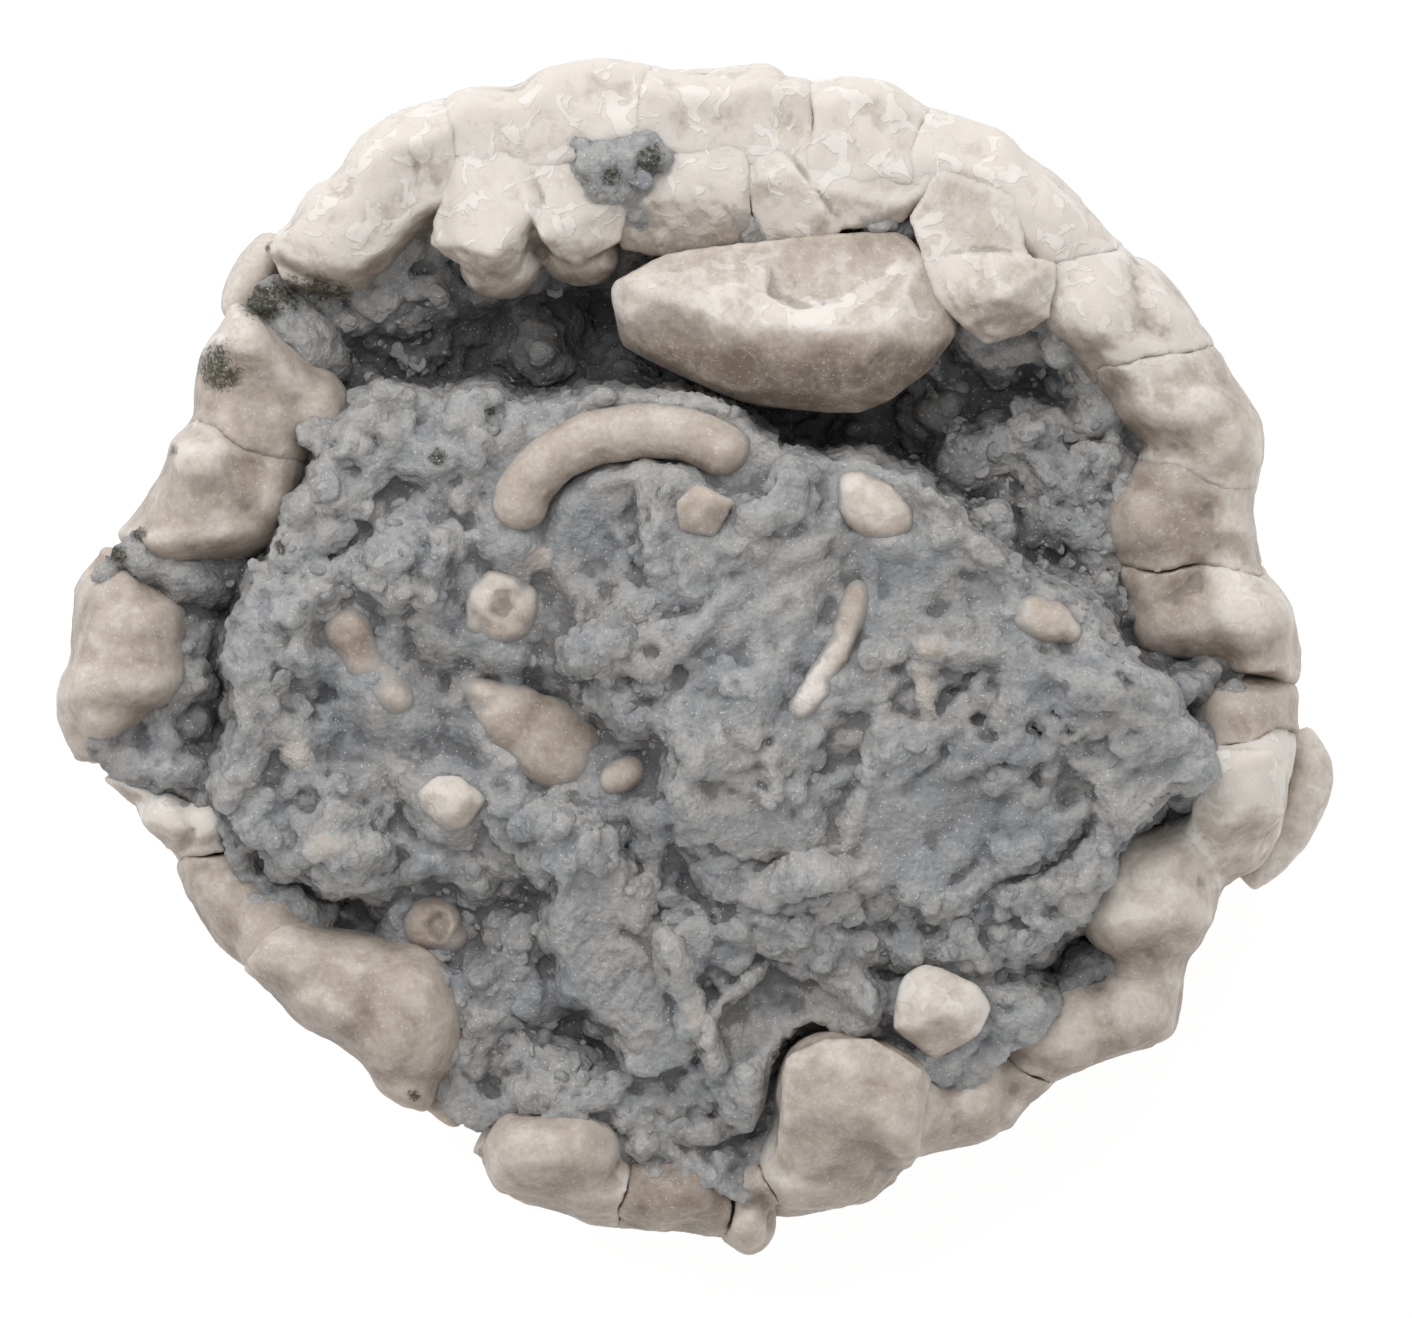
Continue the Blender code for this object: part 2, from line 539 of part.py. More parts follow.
def add_rim_bed(bm, sutures, lobes):
    """Adds the plain thick body of a rim plate, a wedge between its two sutures."""
    corners = []
    for inner_x, inner_y, outer_x, outer_y in sutures:
        inner, outer = Vector((inner_x, inner_y)), Vector((outer_x, outer_y))
        outward = (outer - inner).normalized()
        corners += [inner - outward * RIM_BED_IN, outer - outward * RIM_BED_OUT]
    corners += [Vector((lobe.x, lobe.y)) for lobe in lobes]
    top = min(lobe.top for lobe in lobes) - RIM_BED
    verts = [bm.verts.new(Vector((corner.x * share, corner.y * share, height)) * MM)
             for corner in corners
             for share, height in ((RIM_BED_TAPER, RIM_BED_FOOT), (1.0, top))]
    bmesh.ops.convex_hull(bm, input=verts)
    loose = [vert for vert in verts if not vert.link_faces]
    bmesh.ops.delete(bm, geom=loose, context="VERTS")


def rim_plates(material, fill, foot, pocket):
    for number, (suture, lobes) in enumerate(RIM, 1):
        next_suture = RIM[number % len(RIM)][0]
        bm = bmesh.new()
        add_rim_bed(bm, (suture, next_suture), lobes)
        for lobe in lobes:
            add_lobe(bm, lobe, RIM_DEPTH)
        plate = melted(f"rim_plate_{number:02d}", bm, RIM_TRIANGLES * UNCUT, material)
        for line in (suture, next_suture):
            cut_at_suture(plate, line, lobes[0].x, lobes[0].y)
        boolean(plate, fill, "DIFFERENCE")
        boolean(plate, foot, "DIFFERENCE")
        # the exact solver loses whole plates on this cutter of many bodies
        boolean(plate, pocket, "DIFFERENCE", "MANIFOLD")
        thinned(without_crumbs(settle(plate)), RIM_TRIANGLES)


def lower_plates(material, fill, foot, core):
    """The circlet under the rim: wide swollen plates, every other one a little lower."""
    turn = 360 / LOWER_PLATES
    for number in range(LOWER_PLATES):
        angle = math.radians(turn * (number + LOWER_TURN))
        reach = LOWER_REACH + (LOWER_SWELL if number % 2 else 0.0)
        bm = bmesh.new()
        for height, drawn_in, thick, wide, tall in LOWER_BODIES:
            place = (
                Matrix.Rotation(angle, 4, "Z")
                @ Matrix.Translation(Vector((reach - drawn_in, 0, height)) * MM)
                @ Matrix.Diagonal((thick * MM, wide * MM, tall * MM, 1))
            )
            bmesh.ops.create_icosphere(bm, subdivisions=2, radius=1, matrix=place)
        plate = melted(f"lower_plate_{number + 1:02d}", bm, LOWER_TRIANGLES * UNCUT, material,
                       LOWER_MELT_STEP)
        keep_x, keep_y = reach * math.cos(angle), reach * math.sin(angle)
        for side in (-0.5, 0.5):
            edge = angle + math.radians(turn) * side
            suture = (0, 0, reach * math.cos(edge), reach * math.sin(edge))
            cut_at_suture(plate, suture, keep_x, keep_y)
        cut_off(plate, (0, 0, LOWER_BOTTOM), (0, 0, -1))
        boolean(plate, foot, "INTERSECT")
        boolean(plate, fill, "DIFFERENCE")
        boolean(plate, core, "DIFFERENCE")
        thinned(without_crumbs(settle(plate)), LOWER_TRIANGLES)


def base_plate(material):
    """The fused plates round the stem, worn flat where the cup rests."""
    bm = bmesh.new()
    radius_top = BASE_RADIUS - PLATE_GAP
    place = Matrix.Translation(Vector((0, 0, BASE_HEIGHT / 2)) * MM)
    bmesh.ops.create_cone(bm, cap_ends=True, segments=30, radius1=FLAT_RADIUS * MM,
                          radius2=radius_top * MM, depth=BASE_HEIGHT * MM, matrix=place)
    return object_from("base_plate", bm, material)


def inside(x, y, outline):
    """How far a point lies inside an outline, in millimetres, below 0 outside it."""
    nearest = math.inf
    within = False
    for (ax, ay), (bx, by) in zip(outline, outline[1:] + outline[:1]):
        along_x, along_y = bx - ax, by - ay
        share = ((x - ax) * along_x + (y - ay) * along_y) / (along_x ** 2 + along_y ** 2)
        share = min(1.0, max(0.0, share))
        nearest = min(nearest, math.hypot(x - ax - share * along_x, y - ay - share * along_y))
        if (ay > y) != (by > y) and x < ax + (y - ay) / along_y * along_x:
            within = not within
    return nearest if within else -nearest


def ground_height(x, y):
    """Height of the broken matrix surface at a point of the face."""
    height = FLOOR_HEIGHT
    for shelf in SHELVES:
        share = 0.5 + inside(x, y, shelf.outline) / shelf.edge
        share = min(1.0, max(0.0, share))
        share = share * share * (3 - 2 * share)
        level = shelf.height + shelf.rise_x * (x - shelf.x) + shelf.rise_y * (y - shelf.y)
        height += (level - height) * share
    spot = Vector((x * ROUGHNESS_SPREAD, y * ROUGHNESS_SPREAD, 0.3))
    return height + ROUGHNESS * noise.noise(spot) * 2


def matrix_fill(material, fill):
    """The grey fill: the inside of the cup under the broken surface, with tongues between plates."""
    steps = round(2 * FILL_SPAN / GROUND_STEP)
    bm = bmesh.new()
    rows = []
    for j in range(steps + 1):
        row = []
        for i in range(steps + 1):
            aside = GROUND_STEP / 4 if j % 2 else -GROUND_STEP / 4
            x = -FILL_SPAN + 2 * FILL_SPAN * i / steps + aside
            y = -FILL_SPAN + 2 * FILL_SPAN * j / steps
            row.append(bm.verts.new(Vector((x, y, ground_height(x, y))) * MM))
        rows.append(row)
    for j in range(steps):
        for i in range(steps):
            a, b, c, d = rows[j][i], rows[j][i + 1], rows[j + 1][i + 1], rows[j + 1][i]
            for corners in (((a, b, d), (b, c, d)) if j % 2 == 0 else ((a, b, c), (a, c, d))):
                bm.faces.new(corners)
    lower = bmesh.ops.extrude_face_region(bm, geom=bm.faces[:])
    for vert in (v for v in lower["geom"] if isinstance(v, bmesh.types.BMVert)):
        vert.co.z = CUT_BOTTOM * MM
    bmesh.ops.recalc_face_normals(bm, faces=bm.faces[:])
    body = object_from("matrix", bm, material)
    boolean(body, fill, "INTERSECT")
    boolean(body, tongues("tongues"), "UNION")
    return body


def add_fragment(bm, lobes, sunk, grow=0.0):
    """Adds a fragment's swellings, each reaching down into the ground below it."""
    for lobe in lobes:
        depth = (lobe.top - ground_height(lobe.x, lobe.y) + sunk) / 2
        add_lobe(bm, lobe, depth, grow)


def fragments(plate, pale, fill):
    for name, sunk, lobes in FRAGMENTS:
        bm = bmesh.new()
        add_fragment(bm, lobes, sunk)
        material = pale if name.startswith("broken") else plate
        piece = melted(name, bm, FRAGMENT_TRIANGLES, material, step=FRAGMENT_MELT_STEP)
        boolean(piece, fill, "INTERSECT")


def add_displaced_block(bm, grow=0.0):
    """Adds the big plate that has slipped over the hollow: a broken block."""
    middle = sum((Vector(c) for c in DISPLACED_CORNERS), Vector()) / len(DISPLACED_CORNERS)
    corners = []
    for corner in DISPLACED_CORNERS:
        away = Vector(corner) - middle
        corners.append(bm.verts.new((Vector(corner) + away.normalized() * grow) * MM))
    bmesh.ops.convex_hull(bm, input=corners)
    loose = [vert for vert in corners if not vert.link_faces]
    bmesh.ops.delete(bm, geom=loose, context="VERTS")


def add_rod(bm, points, radii, sides=8):
    """Adds a bent rod along points on the face."""
    points = [Vector(point) for point in points]
    rings = []
    for i, point in enumerate(points):
        ahead = points[min(i + 1, len(points) - 1)] - points[max(i - 1, 0)]
        side = ahead.cross(Vector((0, 0, 1))).normalized()
        up = side.cross(ahead).normalized()
        ring = []
        for k in range(sides):
            angle = 2 * math.pi * k / sides
            out = (side * math.cos(angle) + up * math.sin(angle)) * radii[i]
            ring.append(bm.verts.new((point + out) * MM))
        rings.append(ring)
    for near, far in zip(rings, rings[1:]):
        for k in range(sides):
            m = (k + 1) % sides
            bm.faces.new((near[k], far[k], far[m], near[m]))
    bm.faces.new(rings[0])
    bm.faces.new(rings[-1][::-1])


def add_crescent(bm, grow=0.0):
    """Adds the curved arm joint, thinner at its ends and rising to the right."""
    start_x = CRESCENT_PATH[0][0]
    points = [Vector((x, y, CRESCENT_HEIGHT + CRESCENT_RISE * (x - start_x)))
              for x, y in CRESCENT_PATH]
    points[0] += (points[0] - points[1]).normalized() * grow
    points[-1] += (points[-1] - points[-2]).normalized() * grow
    last = len(points) - 1
    radii = [CRESCENT_RADIUS * (CRESCENT_TIP if i in (0, last) else 1.0) + grow
             for i in range(last + 1)]
    add_rod(bm, points, radii)


def add_arm(bm, grow=0.0):
    """Adds the piece of arm outside the rim, which dips towards the foot of the face."""
    points = [Vector((x, y, ARM_HEIGHT - ARM_DIP * i)) for i, (x, y) in enumerate(ARM_PATH)]
    points[0] += (points[0] - points[1]).normalized() * grow
    points[-1] += (points[-1] - points[-2]).normalized() * grow
    add_rod(bm, points, [ARM_RADIUS * share + grow for share in ARM_TAPER])


def pockets():
    """The hollows that the fragments lie in, which clear them by the gap."""
    bm = bmesh.new()
    for _, sunk, lobes in FRAGMENTS:
        add_fragment(bm, lobes, sunk, FRAGMENT_ROOM)
    add_displaced_block(bm, DISPLACED_ROOM)
    add_crescent(bm, CRESCENT_ROOM)
    return hide(melted("pockets", bm, POCKET_TRIANGLES, step=CUTTER_MELT_STEP))


def main():
    clear_scene()
    plate = stone("calcite_plate", PLATE_COLOUR, 0.5)
    pale = stone("broken_calcite", PALE_COLOUR, 0.55)
    grey = stone("grey_matrix", MATRIX_COLOUR, 0.85)
    half_gap = PLATE_GAP / 2
    fill_inside = fill_shape("fill_inside", -half_gap)
    fill_outside = fill_shape("fill_outside", half_gap)
    foot_above = rim_foot("foot_above", half_gap)
    foot_below = rim_foot("foot_below", -half_gap)
    core = cylinder("base_room", BASE_RADIUS + BASE_ROOM, CUT_BOTTOM, BASE_HEIGHT + PLATE_GAP)
    rim_plates(plate, fill_outside, foot_above, rim_pocket())
    lower_plates(plate, fill_shape("fill_far", LOWER_ROOM), foot_below, core)
    base_plate(plate)
    fragments(plate, pale, fill_inside)
    block = bmesh.new()
    add_displaced_block(block)
    melted("displaced_plate", block, DISPLACED_TRIANGLES, pale)
    curve = bmesh.new()
    add_crescent(curve)
    melted("crescent_ossicle", curve, DISPLACED_TRIANGLES, plate, step=CUTTER_MELT_STEP)
    arm = bmesh.new()
    add_arm(arm)
    bmesh.ops.triangulate(arm, faces=arm.faces[:])
    object_from("arm_fragment", arm, plate)
    splinter = bmesh.new()
    add_lobe(splinter, SPLINTER, SPLINTER_DEPTH, subdivisions=1)
    object_from("rim_splinter", splinter, plate)
    body = matrix_fill(grey, fill_inside)
    boolean(body, pockets(), "DIFFERENCE")


main()
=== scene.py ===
"""Dresses a fossil crinoid cup: fine stone surfaces, finishes, stage, light and camera.

X runs to the right of the cup's broken face, Y to its top and Z up out of it.
Tables of places are in millimetres, and MM turns them into Blender's metres.
"""

import math
from collections import namedtuple
from itertools import combinations, product

import bmesh
import bpy
import numpy as np
from bpy.props import FloatProperty, FloatVectorProperty, PointerProperty
from bpy.types import Operator, Panel, PropertyGroup
from mathutils import Matrix, Vector
from mathutils.bvhtree import BVHTree
from mathutils.kdtree import KDTree


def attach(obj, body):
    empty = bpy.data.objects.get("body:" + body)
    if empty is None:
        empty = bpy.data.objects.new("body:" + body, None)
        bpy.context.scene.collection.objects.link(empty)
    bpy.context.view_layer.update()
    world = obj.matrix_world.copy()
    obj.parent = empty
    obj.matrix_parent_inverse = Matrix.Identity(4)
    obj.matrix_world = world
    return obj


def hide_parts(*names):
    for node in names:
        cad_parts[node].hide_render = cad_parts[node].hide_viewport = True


bl_info = {
    "name": "Fossil crinoid cup",
    "version": (1, 0, 0),
    "blender": (4, 5, 0),
    "location": "3D View > Sidebar > Fossil",
    "description": "Builds the stone surfaces of a fossil crinoid cup",
    "category": "Object",
}

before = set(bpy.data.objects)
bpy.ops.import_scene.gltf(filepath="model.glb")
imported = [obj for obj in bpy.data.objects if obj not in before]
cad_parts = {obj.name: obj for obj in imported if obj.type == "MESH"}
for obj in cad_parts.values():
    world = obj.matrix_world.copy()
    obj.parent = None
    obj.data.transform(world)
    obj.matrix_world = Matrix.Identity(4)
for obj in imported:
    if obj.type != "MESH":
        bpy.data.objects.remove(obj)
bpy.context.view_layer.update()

MM = 0.001
BODY = "root"

# A swelling: its middle, its highest point, its half widths, its turn about Z
# and its paleness, from 0 for brown to 1 for near white
Lobe = namedtuple("Lobe", "x y top rx ry turn pale")
# A stretch of the broken surface: its outline, height at a point, slopes and width of edge
Shelf = namedtuple("Shelf", "outline x y height rise_x rise_y edge")
# A broken face: a point on it and the way it faces
Chip = namedtuple("Chip", "x y z nx ny nz")

# Outer edge of the cup on its face, clockwise from the left
OUTLINE = [
    (-18.9, 6.5), (-18.5, 7.9), (-17.8, 8.3), (-17.75, 9.5), (-17.4, 11), (-16.7, 11.7), (-16.1, 13),
    (-15.3, 14.5), (-14.3, 15.4), (-13.7, 16.45), (-12.7, 17), (-11.9, 18.3), (-11, 19), (-10, 19.4),
    (-8.9, 19.65), (-8.3, 20.05), (-7.7, 20.15), (-6.4, 20.05), (-5.6, 20.7), (-4, 21.1), (-3, 21.15),
    (-2, 21), (-0.8, 20.7), (1, 20.8), (2.4, 21.05), (3.2, 20.5), (4.2, 20.25), (5.3, 20.45),
    (6.8, 20.25), (8, 19.4), (9.5, 19), (11, 18.4), (11.5, 17.8), (12.8, 16.9), (14, 15.6), (15, 14.55),
    (16.2, 13.9), (17, 13), (18, 11.5), (19, 9.9), (19.6, 9.1), (20, 8), (20, 7), (19.55, 5.3),
    (19.8, 4.1), (20, 3.2), (21, 1.9), (21.4, 0.2), (21.25, -1.2), (21.2, -2.9), (20.9, -4.6),
    (20.7, -6), (19.9, -7.4), (18.5, -8.1), (18.3, -9.2), (17.7, -10.2), (17.2, -11), (17.3, -11.8),
    (16.9, -13.4), (15.4, -14), (14.4, -14.2), (13, -14.8), (12, -15.6), (11, -16.75), (9.5, -17.25),
    (8, -17.6), (7.1, -18.4), (6.1, -19.35), (5, -19.45), (3, -19.8), (2.6, -20.7), (1.7, -21.25),
    (1, -20.7), (0, -20.4), (-2, -20.2), (-4, -20), (-4.7, -19.6), (-6, -19.3), (-7.3, -18.7),
    (-7.6, -17.6), (-8.4, -16.9), (-9.5, -16), (-10.7, -15.7), (-11.5, -15), (-11.7, -14.5),
    (-12.6, -13.7), (-14, -13), (-14.9, -12), (-16, -11), (-17.2, -9.9), (-18, -8.5), (-18.75, -6.7),
    (-19.6, -6), (-20.3, -4.7), (-22, -3.4), (-22.6, -2.2), (-22.6, -1.2), (-22.1, 0), (-22.1, 1.1),
    (-22.05, 2.3), (-21.5, 3.3), (-20, 4.9), (-19.4, 5.9),
]

# Rim plates, clockwise from the upper left: the suture that starts each (inner x, inner y,
# outer x, outer y), how full the grooves between its swellings are, and its swellings
RIM = [(suture, [Lobe(*lobe) for lobe in lobes], fill) for suture, fill, *lobes in (
    ((-13.4, 12.2, -16.2, 13.4), 0.99, (-10.3, 17.2, 17.6, 3, 2.1, 30, 0.88),
     (-12.4, 15.6, 17.2, 2.1, 2.1, 0, 0.85), (-12.5, 14.5, 16.6, 1.9, 1.3, 25, 0.8)),
    ((-8, 16.4, -8.9, 19.7), 0.98, (-7.2, 18.3, 17.6, 2.4, 1.85, 0, 0.95),
     (-4, 19, 18, 2.6, 2.15, 0, 0.82), (-5.4, 17.4, 17, 1.9, 1.1, 0, 0.9)),
    ((-2.2, 17.8, -1.7, 21), 0.98, (-0.4, 18.9, 17.9, 2.3, 1.9, 0, 0.9),
     (2, 18.8, 18.2, 2.3, 2, 0, 0.9), (2.4, 20.2, 16.6, 0.9, 0.9, 0, 0.9)),
    ((3.9, 16.4, 4.25, 20.3), 0.98, (5.6, 18.5, 17.9, 2.5, 1.95, -15, 0.9),
     (5, 17.2, 17.8, 1.9, 1, -5, 0.95)),
    ((7.4, 16.3, 8, 19.5), 0.98, (9.7, 17, 17.6, 2.7, 1.9, -28, 0.97),
     (12.3, 15.6, 17.2, 2.7, 1.7, -45, 0.92), (10.2, 15.3, 16.9, 1.7, 1.3, -30, 0.97)),
    ((11.2, 13.9, 15.2, 14.7), 0.94, (14, 12.5, 17, 2.6, 2, -25, 0.82),
     (16.2, 12.3, 15.8, 1.9, 1.6, -50, 0.8)),
    ((13.2, 9.6, 18.7, 11.4), 0.96, (16.9, 9.2, 16.2, 2.6, 1.7, -20, 0.64),
     (18.2, 7.7, 15.5, 1.85, 2, 0, 0.62), (18, 10.1, 14.6, 1.2, 1.2, 0, 0.64)),
    ((14.8, 7.6, 19.6, 5.5), 0.97, (16.3, 4.9, 15, 2.2, 1.9, 0, 0.34), (18.7, 4.7, 14.8, 1, 1, 0, 0.55),
     (18.6, 3.6, 14.4, 1.3, 0.8, -10, 0.55)),
    ((15, 3.1, 20.3, 3), 0.96, (16.6, 1.5, 14.2, 1.7, 1.8, 0, 0.33),
     (19.4, 1.5, 15.2, 1.95, 1.7, -30, 0.75), (20.1, 0, 14.2, 1.25, 1.5, 0, 0.6)),
    ((15.5, 0, 21.4, -0.9), 0.92, (19.2, -2.1, 14.3, 2.4, 1.6, 0, 0.4)),
    ((17, -3.3, 21.3, -2.6), 0.95, (19.1, -4.5, 15.6, 1.7, 1.5, 0, 1),
     (18.7, -6.2, 14, 1.7, 1.9, 20, 0.85)),
    ((16.6, -5.6, 18.7, -8.4), 0.9, (15.9, -8.4, 15.6, 2.5, 2.3, 0, 0.66),
     (16.8, -9.9, 14.2, 1.3, 1.3, 40, 0.5), (15.9, -10.5, 13.8, 1.4, 0.9, 0, 0.45)),
    ((13.5, -10.9, 17.4, -11.4), 0.9, (15.6, -12.3, 13.8, 1.75, 1.65, 0, 0.5),
     (12.8, -12.9, 13.6, 2.3, 1.6, 25, 0.5)),
    ((10.6, -13.9, 12.6, -15.2), 0.9, (9.6, -15.2, 13.8, 1.6, 1.8, 0, 0.6),
     (8.7, -16.2, 13.2, 1.9, 1.2, 10, 0.5), (11, -15.7, 12.4, 0.95, 1.2, -25, 0.5)),
    ((8.4, -14.2, 6.8, -18.4), 0.9, (5.6, -15.3, 17.4, 2.8, 2.1, -15, 0.46),
     (4.2, -18, 14.4, 2.1, 1.8, 0, 0.72), (5.9, -18.3, 13.4, 1.2, 1.2, 30, 0.37)),
    ((2, -17.4, 3, -20.2), 0.9, (1.75, -20.1, 12.8, 0.95, 1.15, 0, 0.45),
     (1.6, -18.7, 12.8, 0.75, 1.3, 0, 0.4)),
    ((1, -17.6, 1, -20.6), 0.92, (-0.8, -18.8, 13.4, 2.4, 1.6, -5, 0)),
    ((-2.4, -16.8, -2.9, -20.4), 0.95, (-5.1, -17.4, 15.2, 2.5, 1.5, 0, 0.5),
     (-6.5, -17.9, 14, 1.1, 1.1, 0, 0.55), (-4, -18.9, 13.6, 1.9, 1.15, -8, 0.55)),
    ((-7.6, -15.4, -8.2, -17.4), 0.95, (-10.3, -12.4, 15.6, 2.2, 2.5, 20, 0.34),
     (-13.9, -10.4, 15, 2.1, 1.3, -25, 0.55), (-12.6, -12, 15.2, 2, 1.4, -35, 0.42),
     (-11.7, -13.2, 14.2, 1, 1, 0, 0.46), (-10.2, -14.8, 14, 1.4, 0.95, -5, 0.46)),
    ((-13.9, -9, -16.6, -11.1), 0.9, (-16.4, -8.3, 13, 2.2, 1.7, -50, 0.42)),
    ((-16, -6.7, -19.2, -7.1), 0.86, (-18.8, -5.7, 13.8, 1.25, 0.95, -40, 0.85),
     (-17.4, -5.8, 13.6, 1.1, 1.1, 0, 0.85), (-20, -4.7, 12.8, 1, 0.65, -35, 0.85)),
    ((-17.5, -3.3, -22, -4.3), 0.97, (-20.2, -0.8, 15.2, 2.35, 1.25, 0, 0.6),
     (-19.9, 1.1, 14.8, 2.2, 1.4, 0, 0.38), (-20.7, 2.4, 14.2, 1.35, 1, 25, 0.48),
     (-20.8, -2.1, 14.4, 0.9, 0.7, 0, 0.7), (-21.3, -2.6, 12.4, 1.1, 1.2, 0, 0.5)),
    ((-16.5, 2.5, -20.9, 4.1), 0.95, (-17.1, 4.7, 15.2, 2.7, 1.45, 10, 0.5),
     (-17.3, 6.8, 16.2, 1.35, 1.3, 0, 0.55), (-15.3, 5.9, 15, 1.25, 1.6, 0, 0.4)),
    ((-13.8, 6.9, -18, 8.3), 0.94, (-15.3, 8.7, 15.2, 2.45, 1.5, -5, 0.42),
     (-15.5, 10.8, 16.2, 1.4, 1, -25, 0.7), (-13.5, 8.8, 14.8, 1.4, 1.5, 0, 0.5)),
)]
# Angular bodies added to some rim plates, by the plate's number
RIM_BLOCKS = {
    11: [(17.4, -3.2, 15.4), (20.4, -3.1, 15.3), (20.8, -5.2, 14.4), (18.9, -5.9, 15.1),
         (17.3, -5.4, 14.6), (18.6, -4, 15.9), (19, -7.6, 13), (17.6, -7.6, 12.6), (20.4, -6, 11.5),
         (17.6, -4.5, 11.5)],
    15: [(3, -13.9, 16.6), (4.5, -13.2, 16.8), (6.2, -13.2, 16.8), (8.2, -14.4, 16.4),
         (5.5, -14.2, 17.6), (5.5, -16.2, 17.4), (6.9, -16.4, 15.6), (2.9, -16.2, 15.8),
         (4, -18.4, 14.6), (6.2, -19.2, 12.4), (2.6, -19.6, 12), (5, -14.5, 12)],
}
# Broken faces of some rim plates
RIM_FACES = {number: [Chip(*row) for row in rows] for number, rows in {
    1: ((-11, 16.3, 17, -0.05, -0.12, 0.99), (-12.4, 14, 16.4, 0.1, -0.25, 0.96)),
    2: ((-5.6, 18.6, 17.2, -0.06, -0.05, 0.99), (-3.6, 20.2, 16.9, 0.1, 0.4, 0.91)),
    3: ((0.8, 18.8, 17.4, 0.05, -0.12, 0.99), (2.6, 18.2, 17.3, 0.3, 0, 0.95)),
    4: ((5.4, 18.2, 17.3, 0, -0.08, 0.99), (6.8, 19.2, 16.8, 0.35, 0.3, 0.89)),
    5: ((10.4, 16.4, 17.1, -0.05, -0.1, 0.99), (9, 18.4, 16.6, 0.2, 0.55, 0.81)),
}.items()}
RIM_DEPTH = 4.2  # half the height of a rim plate's swelling
RIM_FOOT = 7.0  # mean height of the joint under the rim
RIM_FOOT_TILT = 0.08  # its rise for each millimetre towards the top of the face

# Where the matrix bulges out between rim plates
TONGUES = [Lobe(*row) for row in (
    (-14.6, 11.9, 13.6, 3, 1.3, -38, 0), (-18.6, 3.2, 13.4, 3.3, 1.4, -12, 0),
    (-19, -3.6, 13.2, 2.6, 1.2, -8, 0), (-8.2, -16, 12.8, 1.5, 2.6, -18, 0),
    (17.2, -0.6, 13.2, 2.2, 0.7, -8, 0),
)]

